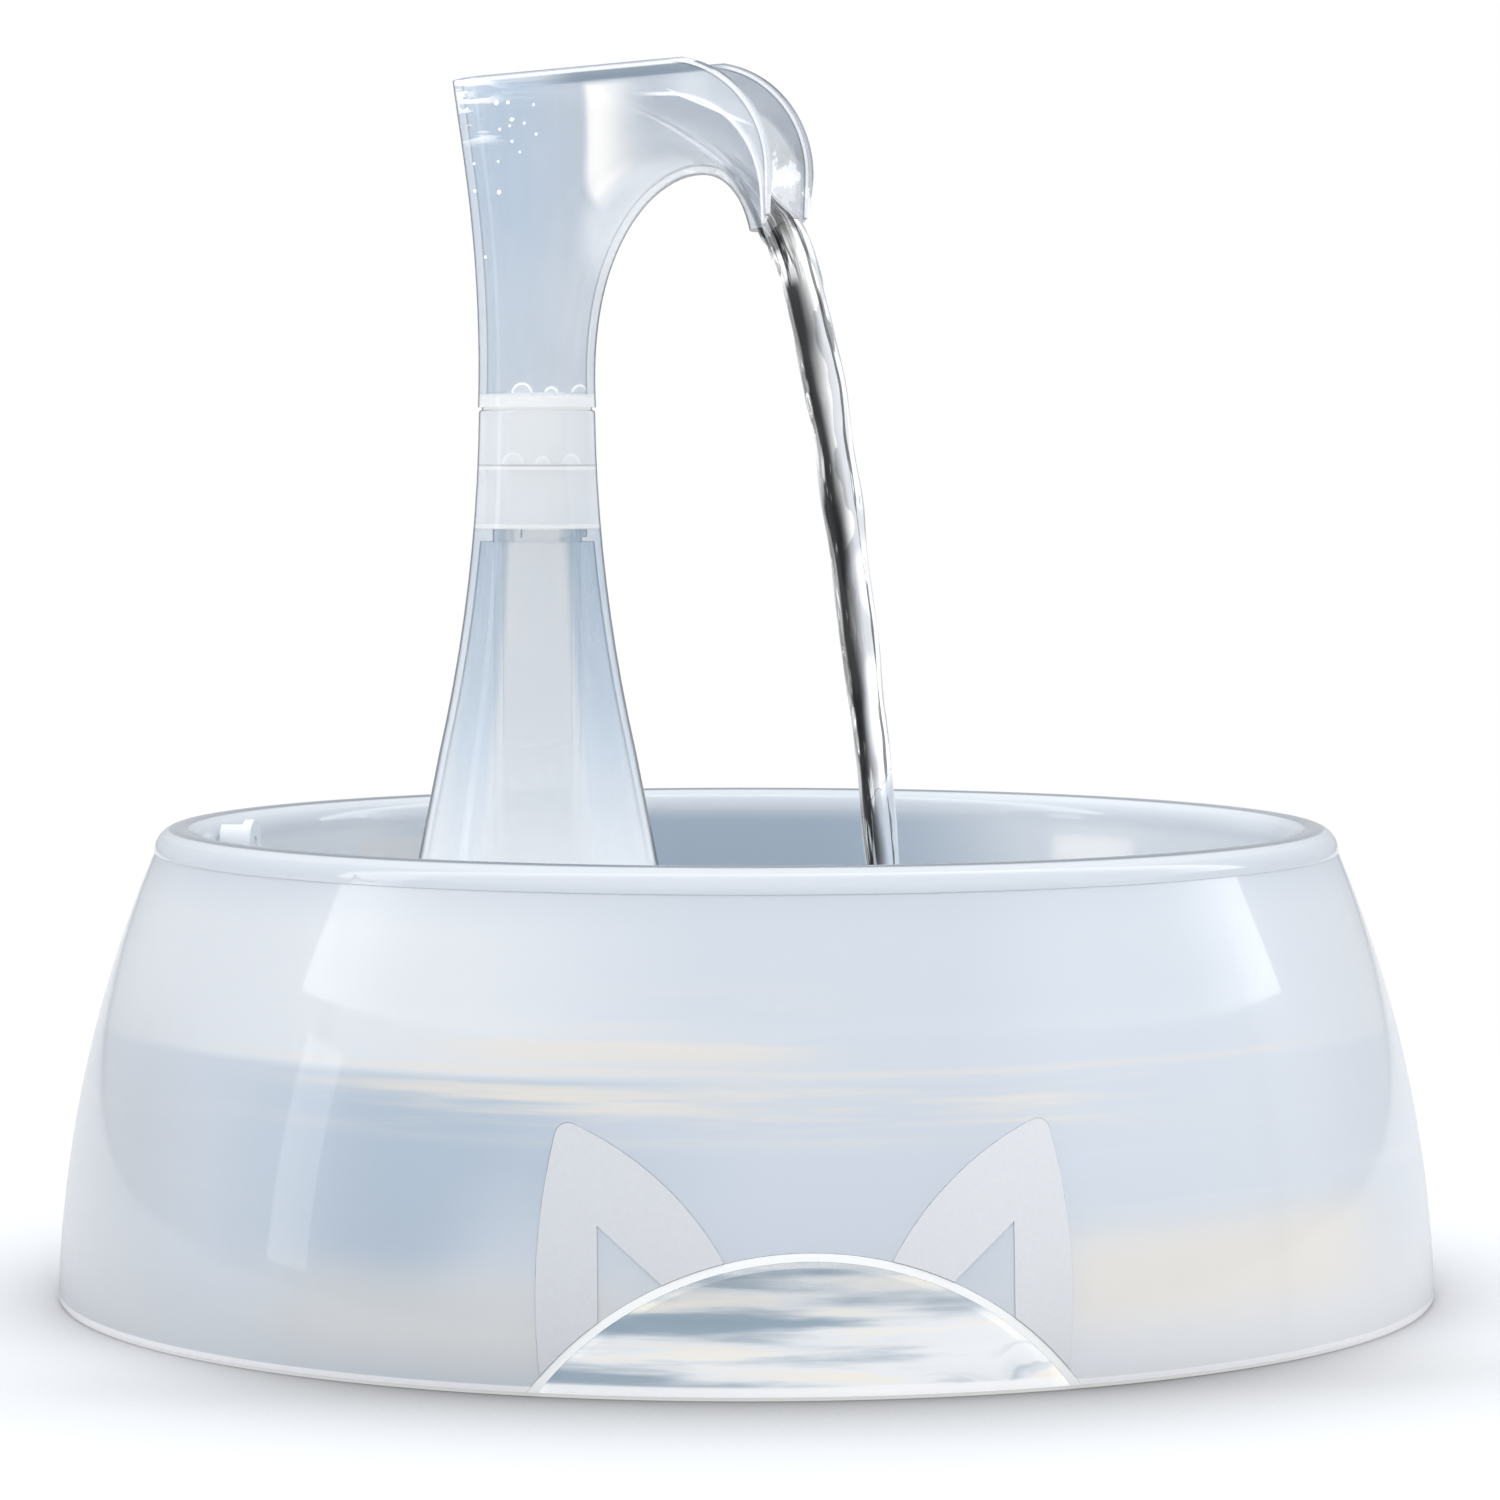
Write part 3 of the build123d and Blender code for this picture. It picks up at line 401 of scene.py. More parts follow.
def head_paint(net, along, across, z, haze, bands):
    """Tint, density and painted glow of the spout: water in it with painted shade under its surface, a
    painted bright bend, painted highlight lines and the thickness of its rim.
    """
    near = across.step(-0.006, -0.009)
    # Water stands under the pouring bend, painted darker in shade just under its surface line, and the
    # lip beyond it is dry
    pour = beyond_bend(along, z, POUR_BEND, over=True)
    wet = pour.step(0.0002, -0.0002) * along.step(0.020, 0.032)
    dry = pour.step(-0.0002, 0.0004) * along.step(0.030, 0.036)
    pour_line = pour.band(0.0, 0.0002, 0.0003) * along.step(0.026, 0.034)
    wet_and_shade = net.mix(pour.step(-0.011, -0.0005), (0.63, 0.67, 0.72), DARK_BLUE_GREY)
    # The inner bend has a painted glow, with a painted warm glint up its left
    inner = beyond_bend(along, z, UNDER_BEND)
    glow = inner.step(0.0062, 0.0012) * z.step(0.196, 0.216) * along.step(0.010, 0.016)
    below_rim = along * RIM_CLIMB + RIM_AT_AXIS - z
    drop = z.step(0.232, 0.214)
    left = along - drop * drop * 0.0075 + (haze - 0.5) * 0.005
    warm_glint = (left.step(CREAM_EDGE - 0.0012, CREAM_EDGE + 0.0010) * left.step(0.033, 0.0175)
             * inner.step(0.0, 0.004) * z.step(0.204, 0.222) * below_rim.step(0.0028, 0.0045))
    # Lines along the rim, at the back of the channel and round the lip: the white ones are painted
    # highlights, and the dark band under the rim is its thickness
    fin = below_rim.band(0.0021, 0.0009, 0.0005) * along.step(0.002, 0.016) * along.step(0.049, 0.044)
    torn = net.noise((70, 70, 640), detail=3)
    streak = torn.step(0.50, 0.56) * along.step(0.0, -0.007) * z.band(0.2435, 0.0055, 0.003)
    rise = SPLASH_LINE[1] - (along - SPLASH_LINE[0]) * SPLASH_LINE[2] - z
    splash = rise.band(0.0, 0.00015, 0.00025) * along.step(0.034, 0.037) * along.step(0.0545, 0.050)
    line = pour_line + below_rim.band(0.0008, 0.0002, 0.0003) + streak + splash
    lip = -1.0 * beyond_bend(along, z, LIP_BEND, over=True)
    lip_edge = lip.band(0.0007, 0.00025, 0.00015) * along.step(0.034, 0.040)
    lip_line = lip.band(0.0012, 0.00006, 0.00012) * along.step(0.034, 0.040)
    far_lip = net.mix(haze.step(0.4, 0.6), (0.26, 0.31, 0.38), DARK_BLUE_GREY)
    near_lip = net.mix(haze.step(0.4, 0.6), (0.66, 0.71, 0.77), (0.84, 0.87, 0.90))
    # Spray on the far lip, and foam on the seam
    patches = net.noise((230, 230, 130), detail=3)
    spray = (1 - near) * along.step(0.034, 0.038) * z.step(0.2375, 0.2340)
    foamy = spray * patches.step(0.54, 0.59)
    foam = near_seam(across) * seam_bubbles(along + across * BUBBLE_LEAN, z - SEAM_TOP)
    pale_left = along.step(-0.003, -0.013) * 0.45
    pale = (haze.step(0.4, 0.7) * 0.35 + bands.step(0.45, 0.7) * 0.3 + pale_left).clamped()
    tint = net.coats(
        colours().clear,
        (pale, (0.76, 0.83, 0.90)),
        (along.step(0.0, 0.014) * 0.6, (0.60, 0.63, 0.67)),
        (z.step(0.228, 0.202) * 0.45, (0.78, 0.81, 0.84)),
        (wet * 0.85, wet_and_shade),
        (dry * 0.9, net.mix(near, far_lip, near_lip)),
        (spray * patches.step(0.47, 0.40) * 0.8, (0.20, 0.22, 0.25)),
        (foamy, OFF_WHITE),
        (near * fin * 0.9, (0.26, 0.33, 0.40)),
        (glow * 0.85, GLOW_WHITE),
        (near * warm_glint * 0.95, (0.99, 0.96, 0.92)),
        ((near * line + lip_edge).clamped(), WHITE),
        (lip_line * 0.8, (0.20, 0.23, 0.26)),
        (foam.clamped(), WHITE))
    dense = (0.30 + foamy * 0.35 + near * (0.10 + fin * 0.3 + warm_glint * 0.35 + line * 0.5) + foam * 0.4
             + glow * 0.12 + haze * 0.08 + dry * (1 - near) * 0.2 + lip_edge * 0.4 + lip_line * 0.3)
    # Painted glow on the glints, highlight lines, bubbles, spray and bend
    bright = (near * (warm_glint * 0.55 + line * 0.5) + foam * 0.5 + foamy * 0.5 + glow * 0.35
              + lip_edge * 0.35)
    return tint, dense, bright.clamped()


def near_seam(across):
    """1 on the side of the seam that is nearer the window."""
    return across.step(-0.001, -0.003)


def seam_bubbles(across, height):
    """Half-round bubbles with a painted highlight at their edge, that stand on a seam in uneven gaps."""
    cell = across / BUBBLE_PITCH + 0.1
    place = (cell.maths("FRACT") - 0.5) * BUBBLE_PITCH
    odd = (cell.maths("FLOOR") * 2.7 + 3.83).maths("SINE") * 0.5 + 0.5
    radius = odd * BUBBLE_SPREAD + BUBBLE_SMALL
    away = (place * place + height * height) ** 0.5 - radius
    inside, edge = away.step(0.0001, -0.0002), away.band(-0.0002, 0.00015, 0.0002)
    return (inside * 0.35 + edge) * odd.step(0.05, 0.15)


def tower_plastic():
    """The tower and spout: blue-grey, milky and with a painted glow at the neck and foot, painted by
    height.
    """
    net = Net("tower_clear")
    x, y, z = net.place()
    along = (x - TOWER.x) * SPOUT_WAY.x + (y - TOWER.y) * SPOUT_WAY.y
    across = (x - TOWER.x) * ACROSS.x + (y - TOWER.y) * ACROSS.y
    haze = net.noise((36, 36, 16), detail=3)
    bands = net.noise((150, 150, 6), detail=2)
    side = net.facing().step(0.10, 0.17)
    side_tint = net.mix(z.step(0.100, 0.150), (0.66, 0.77, 0.88), (0.44, 0.58, 0.72))
    neck = z.band(NECK_MIDDLE, NECK_HALF, 0.0003)
    foot = z.step(0.136, 0.078)
    sunk = z.step(0.084, 0.064)
    # Painted highlight lines at the neck's two ends, each beside a dark groove
    lines = z.band(0.1572, 0.0004, 0.0002) + z.band(0.1694, 0.0003, 0.0002)
    groove = z.band(0.1564, 0.0001, 0.0002) + z.band(0.1699, 0.0001, 0.0002)
    lower = (near_seam(across) * z.step(LINE_TOP, LINE_TOP + 0.0001)
             * seam_bubbles(along + across * BUBBLE_LEAN + 0.0021, z - LINE_TOP)) * 0.6
    head_tint, head_dense, head_bright = head_paint(net, along, across, z, haze, bands)
    head = z.step(SEAM_TOP, SEAM_TOP + 0.0008)
    seam = z.band(SEAM_MIDDLE, SEAM_HALF, 0.0003)
    tint = net.coats(
        (0.88, 0.92, 0.95),
        (side, side_tint),
        (haze.step(0.35, 0.7) * 0.35 + bands.step(0.5, 0.7) * 0.25, (0.90, 0.93, 0.96)),
        (along.step(-0.009, -0.013) * 0.5, (0.92, 0.94, 0.96)),
        ((neck * 0.9 + foot * 0.85).clamped(), OFF_WHITE),
        (sunk * 0.6, (0.66, 0.75, 0.84)),
        (lines * 0.8, (1.0, 0.99, 0.97)),
        (groove * 0.5, (0.45, 0.48, 0.52)),
        (lower.clamped(), WHITE),
        (head, head_tint),
        (seam * 0.95, FOAM_WHITE))
    dense = 0.08 + side * 0.22 + neck * 0.52 + foot * 0.42 + haze * 0.08 + lines * 0.2
    dense = dense + head * (head_dense - dense) + seam * 0.55
    # Painted glow at the neck and its lines, on the foot above the water, and on the bubbles, seam and
    # head
    bright = (neck * (0.17 + lines * 0.25) + foot * (1 - sunk) * 0.62 + lower * 0.4 + seam * 0.10
              + head * head_bright)
    return see_through(net, tint, dense, bright=bright.clamped())


def tube_plastic():
    """The riser tube: nearly clear, with a faint haze."""
    net = Net("tube_clear")
    haze = net.noise((60, 60, 10), detail=3)
    tint = net.mix(haze.step(0.3, 0.7), (0.88, 0.92, 0.96), (0.96, 0.97, 0.98))
    return see_through(net, tint, 0.10 + haze * 0.10, edge=0.15, line=0.5)


def water_streaks(net, x, run):
    """Long level streaks of painted light bent by the water, blue-grey at the left and pale at the
    right, that curl low on the right, with warm glints and painted shadow along the top.
    """
    curl = net.noise((75, 75, 75), detail=2)
    stir = x.step(0.015, 0.045) * run.step(0.014, 0.007) * 0.016
    level = run + (curl - 0.5) * stir
    wide = net.noise(net.joined(x * 11, 0.0, level * 95), detail=4, rough=0.6)
    thin = net.noise(net.joined(x * 24, 3.0, level * 330), detail=3)
    # Painted shadow along the top
    top_shadow = run.step(0.016, 0.025) * 0.10
    light = (wide + x * 1.7 + 0.095 - top_shadow + (thin - 0.5) * 0.8).step(0.38, 0.64)
    streaks = net.mix(light, (0.36, 0.45, 0.53), GLOW_WHITE)
    return net.mix(thin.step(0.53, 0.64) * 0.85, streaks, (1.0, 0.95, 0.86))


def window_plastic():
    """A clear pane painted with the streaks of light the water behind it bends, densest low down, with a
    painted highlight along its foot and a painted glow all over.
    """
    net = Net("window_clear")
    x, _, z = net.place()
    # Painted highlight along the pane's foot
    foot = z.step(0.0030, 0.0022)
    tint = net.mix(foot, water_streaks(net, x, z), OFF_WHITE)
    dense = 0.30 + z.step(0.022, 0.012) * 0.45 + foot * 0.3
    return see_through(net, tint, dense, edge=0.2, bright=0.8, line=0.3)


BOWL_GLOW = 0.27
BOWL_MILK = 0.2


def bowl_plastic():
    """The bowl: pale above the water, with painted long horizontal reflections in its wet wall, a
    painted glow, and a painted highlight and dark line along its crest.
    """
    net = Net("bowl_clear")
    own = sizes()
    x, y, z = net.place()
    streaks = water_streaks(net, x, z + (x * x + y * y) ** 0.5 * 0.8 - 0.095)
    fine = net.noise((300, 300, 300), detail=2)
    wet = z.step(own.water_level + POOL_LINE_SOFT, own.water_level - POOL_LINE_SOFT)
    blue_middle = (x.band(0.0, 0.035, 0.05) * 0.8).clamped()
    # Light strips where the shell's posts stand behind the wall
    strips = x.band(-0.070, 0.007, 0.003) + x.band(0.083, 0.006, 0.003)
    strips = strips * y.step(0.0, 0.02) * z.step(0.0885, 0.0865)
    dry = net.coats((0.95, 0.97, 0.99), (blue_middle, (0.50, 0.60, 0.70)),
                    (z.step(0.0885, 0.0925), (0.80, 0.84, 0.88)), (strips * 0.8, (0.96, 0.95, 0.93)))
    body = net.mix(wet, dry, streaks)
    floor = BOWL_LOW.z + own.bowl_wall
    # Painted glow in the wet front wall, along the strips and on the dry back right
    wet_front = wet * z.step(floor + 0.001, floor + 0.003) * y.step(-0.01, -0.04)
    lit = net.mix(wet_front, BLACK, body)
    pale = (strips * 0.5 + y.step(0.0, 0.03) * (1 - wet) * 0.27) * x.step(0.03, 0.08)
    lit = net.mix(pale.clamped(), lit, WHITE)
    # A painted highlight just under the crest, and a painted dark line along the crest where it turns
    # away
    from_top = z - BOWL_HIGH.z
    crest = from_top.step(-0.00055, -0.00025)
    shine = from_top.band(-0.0011, 0.0003, 0.0004)
    body = net.coats(body, (shine * 0.3, WHITE),
                     (crest * net.facing().step(0.52, 0.68) * 0.9, (0.16, 0.19, 0.22)))
    plastic = net.principled(base_color=body, roughness=0.08 + fine * 0.04, ior=1.46, coat_weight=0.8,
                             coat_roughness=0.03, emission_color=lit, emission_strength=BOWL_GLOW)
    return net.finish(net.blend(BOWL_MILK, plastic, net.translucent(body)))


def milky_trim():
    """Milky glossy plastic with a faint painted glow."""
    net = Net("milky_trim")
    fine = net.noise((500, 500, 500), detail=2)
    return net.finish(net.principled(
        base_color=colours().milky, roughness=0.22 + fine * 0.08, coat_weight=0.5, coat_roughness=0.05,
        emission_color=colours().milky, emission_strength=0.06))


def matt_ears():
    """Matt grey plastic, paler towards the right."""
    net = Net("matt_ears")
    fine = net.noise((1400, 1400, 1400), detail=2)
    x = net.place()[0]
    pale = (x.step(-0.05, 0.05) * 0.8 + fine.step(0.3, 0.7) * 0.2).clamped()
    tint = net.mix(pale, colours().ears, (0.75, 0.76, 0.77))
    return net.finish(net.principled(base_color=tint, roughness=0.62 + fine * 0.1,
                                     normal=net.bump(fine, 0.00004, 0.5)))


def soft_rubber(name, colour, rough=0.55):
    """Rubber or silicone with a fine grain."""
    net = Net(name)
    grain = net.noise((1100, 1100, 1100), detail=3)
    tint = net.mix(grain.step(0.35, 0.7) * 0.4, colour, tuple(part * 0.86 for part in colour))
    return net.finish(net.principled(base_color=tint, roughness=rough + grain * 0.12,
                                     normal=net.bump(grain, 0.00005, 0.5)))


def moulded(name, colour, rough=0.38, spark=600):
    """Opaque moulded plastic with a fine eroded texture."""
    net = Net(name)
    grain = net.noise((spark, spark, spark), detail=4)
    wide = net.noise((40, 40, 40), detail=2)
    tint = net.mix(wide.step(0.3, 0.7) * 0.3, colour, tuple(part * 0.9 for part in colour))
    return net.finish(net.principled(base_color=tint, roughness=rough + grain * 0.15,
                                     normal=net.bump(grain, 0.00005, 0.45)))


def metal(name, colour, rough, grain_scale):
    """Bare metal with a directional grain."""
    net = Net(name)
    grain = net.noise(grain_scale, detail=3)
    tint = net.mix(grain.step(0.3, 0.7), colour, tuple(part * 0.7 for part in colour))
    return net.finish(net.principled(base_color=tint, metallic=1.0, roughness=rough + grain * 0.15,
                                     normal=net.bump(grain, 0.0001, 0.5)))


def cell_pattern(net, feature, scale):
    """Cells of a size set by the scale: the distance to their edges or to their middles."""
    return net.add("ShaderNodeTexVoronoi", {"feature": feature},
                   {"Vector": net.stretched((1, 1, 1)), "Scale": scale}, "Distance")


def open_foam():
    """Open-cell filter foam: pits between thin bridges."""
    net = Net("open_foam")
    # The pits are painted darker, as shade inside the cells
    pit = cell_pattern(net, "DISTANCE_TO_EDGE", 1100.0).step(0.05, 0.3)
    tint = net.mix(pit, (0.80, 0.84, 0.87), (0.40, 0.45, 0.50))
    return net.finish(net.principled(base_color=tint, roughness=0.9,
                                     normal=net.bump(1 - pit, 0.0004, 0.8)))


def carbon_fleece():
    """White fleece with dark grains showing through."""
    net = Net("carbon_fleece")
    fibre = net.noise((2200, 2200, 160), detail=4)
    grains = cell_pattern(net, "F1", 700.0).step(0.35, 0.2)
    fleece = net.mix(fibre, (0.66, 0.68, 0.69), (0.85, 0.86, 0.86))
    tint = net.mix(grains * 0.7, fleece, (0.07, 0.07, 0.08))
    return net.finish(net.principled(base_color=tint, roughness=0.92, sheen_weight=0.3,
                                     normal=net.bump(fibre, 0.0002, 0.6)))


WATER_IOR = 1.33
# The ribbon's second coordinate is the height with its sign turned, so it grows downwards
MOUTH_DOWN = -0.2155
MOUTH_UP = -0.2185


def still_water():
    """Still water: seen straight through, with a mirror on top that grows as it turns away."""
    net = Net("still_water")
    level = sizes().water_level
    z = net.place()[2]
    ripple = net.bump(net.noise((60, 60, 60), detail=3), 0.0004, 0.5)
    through = net.add("ShaderNodeBsdfTransparent", inputs={"Color": colours().water})
    mirror = net.add("ShaderNodeBsdfGlossy",
                     inputs={"Color": WHITE, "Roughness": 0.02, "Normal": ripple})
    top = z.step(level - 0.0045, level - 0.0035)
    bent = top * net.add("ShaderNodeFresnel", inputs={"IOR": WATER_IOR, "Normal": ripple})
    return net.finish(net.blend(bent, through, mirror))


def falling_water():
    """Fast water painted with reflections: a dark core that clears to white on one side, with bright
    breaks along its edges, and a faint painted glow where it is light.
    """
    net = Net("falling_water")
    across, down, _ = net.split(net.add("ShaderNodeUVMap", {"uv_map": "ribbon"}))
    sway = net.noise(net.joined(across * 2.2, down * 42, 0.0), detail=2)
    fine = net.noise(net.joined(across * 9, down * 60, 0.5), detail=3)
    edge = across + (sway - 0.5) * 0.26
    # The dark core and the dark ribs near the edges are painted reflections
    core = (edge.step(0.04, 0.11) * edge.step(0.62, 0.24)) ** 0.65
    ribs = (edge.band(0.78, 0.025, 0.02) + edge.band(0.96, 0.015, 0.02) * 0.7
            + edge.band(0.03, 0.012, 0.02) * 0.6)
    gaps = fine.step(0.70, 0.60)
    beads = net.noise(net.joined(across * 1.5, down * 85, 2.5), detail=2)
    mouth = down.step(MOUTH_DOWN, MOUTH_UP)
    torn = (down.step(-0.206, -0.211) * fine.step(0.56, 0.46)
            + edge.step(0.30, 0.16) * beads.step(0.60, 0.66))
    core = core * 0.985 * gaps * (1 - torn.clamped())
    core = core * (1 - mouth) + mouth * fine.step(0.46, 0.56) * 0.8
    fallen = down.step(-0.240, -0.226) * 0.8 + 0.2
    dark = ((core + ribs * 0.85 * fine.step(0.38, 0.46)) * fallen).clamped()
    tint = net.mix((1 - dark) ** 1.5, (0.0006, 0.0007, 0.0008), (0.97, 0.98, 0.99))
    return net.finish(net.principled(
        base_color=tint, roughness=0.02, ior=WATER_IOR, transmission_weight=1.0,
        emission_color=net.mix(dark, WHITE, BLACK), emission_strength=0.12,
        normal=net.bump(sway, 0.0008, 0.6)))


def clinging_drop():
    """A drop with painted light: white where it faces the viewer and blue-grey round its edge, with a
    faint glow.
    """
    net = Net("clinging_drop")
    rim = net.facing().step(0.25, 0.7)
    tint = net.mix(rim, WHITE, (0.55, 0.62, 0.70))
    return net.finish(net.principled(base_color=tint, roughness=0.03, ior=WATER_IOR, coat_weight=0.6,
                                     coat_roughness=0.02, emission_color=tint, emission_strength=0.2))


def dress(material, *names):
    """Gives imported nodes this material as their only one."""
    for name in names:
        slots = NODES[name].data.materials
        slots.clear()
        slots.append(material)


def add_mesh(name, mesh_maker, material, body):
    """A new smooth piece made by a function that fills a bmesh, riding on a body."""
    shape = bmesh.new()
    mesh_maker(shape)
    bmesh.ops.recalc_face_normals(shape, faces=shape.faces)
    data = bpy.data.meshes.new(name)
    shape.to_mesh(data)
    shape.free()
    data.polygons.foreach_set("use_smooth", [True] * len(data.polygons))
    data.materials.append(material)
    piece = bpy.data.objects.new(name, data)
    bpy.context.scene.collection.objects.link(piece)
    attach(piece, body)
    return piece


def skin_rings(shape, rings):
    """Faces between successive rings of points, with both ends closed by a fan."""
    rows = [[shape.verts.new(point) for point in ring] for ring in rings]
    count = len(rows[0])
    for low, high in zip(rows, rows[1:]):
        for index in range(count):
            after = (index + 1) % count
            shape.faces.new((low[index], low[after], high[after], high[index]))
    for row in (rows[0], rows[-1]):
        middle = shape.verts.new(sum((vert.co for vert in row), Vector()) / count)
        for index in range(count):
            shape.faces.new((row[index], row[(index + 1) % count], middle))


def unit(value):
    """The value kept between 0 and 1."""
    return min(max(value, 0.0), 1.0)


def turns(count):
    """Evenly spaced angles round a full turn."""
    return [2 * pi * index / count for index in range(count)]


# The sheet of water in the channel: places along the spout, heights and half widths
CHANNEL_RUN = ((-0.013, 0.2465, 0.0066), (0.0, 0.2470, 0.0090), (0.014, 0.2462, 0.0090),
               (0.026, 0.2428, 0.0086), (0.036, 0.2376, 0.0080), (0.044, 0.2315, 0.0064),
               (0.050, 0.2250, 0.0068), (0.0545, 0.2190, 0.0078))
CHANNEL_SHARE = 0.22
SHEET_THIN = 0.0006
SHEET_THICK = 0.0040
# The fall drops by slope times its run plus curve times the run squared
STREAM_SLOPE = 1.48
STREAM_CURVE = 183.0
STREAM_DIP = 0.001
GATHER_SHARE = 0.11
LOOSE_SHARE = 0.06
STREAM_ROWS = 170
STREAM_SIDES = 36


def between(rows, place):
    """A smooth curve through rows of numbers, at a place from 0 to 1 along it."""
    reach = place * (len(rows) - 1)
    index = min(int(reach), len(rows) - 2)
    part = reach - index
    before, after = rows[max(index - 1, 0)], rows[min(index + 2, len(rows) - 1)]
    return [0.5 * (2 * a + (b - p) * part + (2 * p - 5 * a + 4 * b - q) * part ** 2
                   + (3 * a - 3 * b + q - p) * part ** 3)
            for p, a, b, q in zip(before, rows[index], rows[index + 1], after)]


def stream_line(step):
    """Middle of the stream in the spout's plane, from 0 in the channel to 1 at the pool."""
    mouth_along, mouth_height = CHANNEL_RUN[-1][:2]
    if step < CHANNEL_SHARE:
        return between(CHANNEL_RUN, step / CHANNEL_SHARE)[:2]
    fall = (step - CHANNEL_SHARE) / (1 - CHANNEL_SHARE)
    drop = (mouth_height - sizes().water_level + STREAM_DIP) * fall
    out = (-STREAM_SLOPE + sqrt(STREAM_SLOPE ** 2 + 4 * STREAM_CURVE * drop)) / (2 * STREAM_CURVE)
    return mouth_along + out, mouth_height - drop


def stream_section(step):
    """Half width across the spout and half thickness along its run."""
    if step < CHANNEL_SHARE:
        share = step / CHANNEL_SHARE
        return between(CHANNEL_RUN, share)[2], SHEET_THIN + (SHEET_THICK - SHEET_THIN) * share ** 5
    fall = (step - CHANNEL_SHARE) / (1 - CHANNEL_SHARE)
    gather = min(fall / GATHER_SHARE, 1.0)
    gather = gather * gather * (3 - 2 * gather)
    rope = sizes().stream_top * (1 - fall) + sizes().stream_low * fall
    return (CHANNEL_RUN[-1][2] * (1 - gather) + rope * 1.05 * gather,
            SHEET_THICK * (1 - gather) + rope * 0.92 * gather)


def stream_lump(angle, height):
    """How much the falling rope swells or shrinks: all round, at each height, and at its near side."""
    seat = Vector((cos(angle) * 1.6, sin(angle) * 1.6, height * 62))
    level = noise.noise(Vector((0.3, 7.1, height * 90)))
    near_side = 0.16 * exp(-((angle - 4.4) / 0.30) ** 2) * noise.noise(Vector((5, 1, height * 40)))
    return 0.11 * noise.noise(seat) + 0.08 * level + near_side


def fill_stream(shape):
    """A sheet in the channel that gathers into a lumpy rope; its UV runs across and down it."""
    rings, marks = [], []
    for row in range(STREAM_ROWS + 1):
        step = row / STREAM_ROWS
        along, height = stream_line(step)
        ahead, behind = stream_line(min(step + 0.004, 1.0)), stream_line(max(step - 0.004, 0.0))
        run = (SPOUT_WAY * (ahead[0] - behind[0]) + Vector((0, 0, ahead[1] - behind[1]))).normalized()
        out = ACROSS.cross(run).normalized()
        wide, thick = stream_section(step)
        loose = unit((step - CHANNEL_SHARE) / LOOSE_SHARE)
        centre = in_spout(along, height)
        ring = []
        for angle in turns(STREAM_SIDES):
            lump = 1 + loose * stream_lump(angle, height)
            ring.append(centre + ACROSS * (cos(angle) * wide * lump) + out * (sin(angle) * thick * lump))
        rings.append(ring)
        marks.append([(point - centre, -centre.z) for point in ring])
    skin_rings(shape, rings)
    paint_ribbon(shape, rings, marks)


def rounded(point):
    """A point's place to a micrometre, to find it again."""
    return tuple(round(value, 6) for value in point)


def paint_ribbon(shape, rings, marks):
    """Stores how far each point lies from the stream's left edge to its right, and how far down."""
    layer = shape.loops.layers.uv.new("ribbon")
    right = Vector((1, 0, 0))
    table = {}
    for ring, mark in zip(rings, marks):
        reach = max(abs(offset.dot(right)) for offset, _ in mark)
        for point, (offset, down) in zip(ring, mark):
            table[rounded(point)] = (0.5 + 0.5 * offset.dot(right) / reach, down)
    for face in shape.faces:
        for loop in face.loops:
            loop[layer].uv = table.get(rounded(loop.vert.co), (0.5, -loop.vert.co.z))


POOL_ROWS = 64
POOL_SIDES = 192
CORNER_ROWS = 8
RING_WAVES = 620
RING_FADE = 32
SWELL = 0.0005


def pool_height(x, y):
    """Height of the pool's surface, with rings round the stream's foot and a slow swell."""
    foot_along, _ = stream_line(1.0)
    foot = in_spout(foot_along, 0)
    away = hypot(x - foot.x, y - foot.y)
    rings = sizes().ripple * cos(away * RING_WAVES) * exp(-away * RING_FADE)
    swell = noise.noise(Vector((x * 26, y * 26, 0.4))) * SWELL
    return sizes().water_level + rings + swell


def fill_pool(shape):
    """The pool: a rippled top, straight sides and a rounded corner just inside the bowl."""
    own = sizes()
    rim = BOWL_HIGH.x - 2 * rim_roll() - own.film
    floor_z = BOWL_LOW.z + own.bowl_wall + own.film
    low_r = rim - own.bowl_taper
    corner = own.bowl_corner
    rings = []
    for row in range(1, POOL_ROWS + 1):
        radius = (rim - own.bowl_taper * 0.38) * row / POOL_ROWS
        places = [(radius * cos(angle), radius * sin(angle)) for angle in turns(POOL_SIDES)]
        rings.append([Vector((x, y, pool_height(x, y))) for x, y in places])
    for step in range(CORNER_ROWS + 1):
        turn = pi / 2 * step / CORNER_ROWS
        radius, height = low_r - corner + corner * cos(turn), floor_z + corner - corner * sin(turn)
        rings.append([Vector((radius * cos(angle), radius * sin(angle), height))
                      for angle in turns(POOL_SIDES)])
    skin_rings(shape, rings)


def rim_roll():
    """Outer radius of the bowl's rolled rim, from the shell's top to the rim's crest."""
    return BOWL_HIGH.z - SHELL_HIGH.z


SPOUT_HALF = 0.01215
DROP_COUNT = 17
DROP_ROWS = 5
DROP_SIDES = 14
DROP_LEFT = -0.0105
DROP_SPAN = 0.016
DROP_LOW = 0.213
DROP_HIGH = 0.2475
DROP_FLAT = 0.55
DROP_SMALL = 0.22
DROP_SPREAD = 0.36


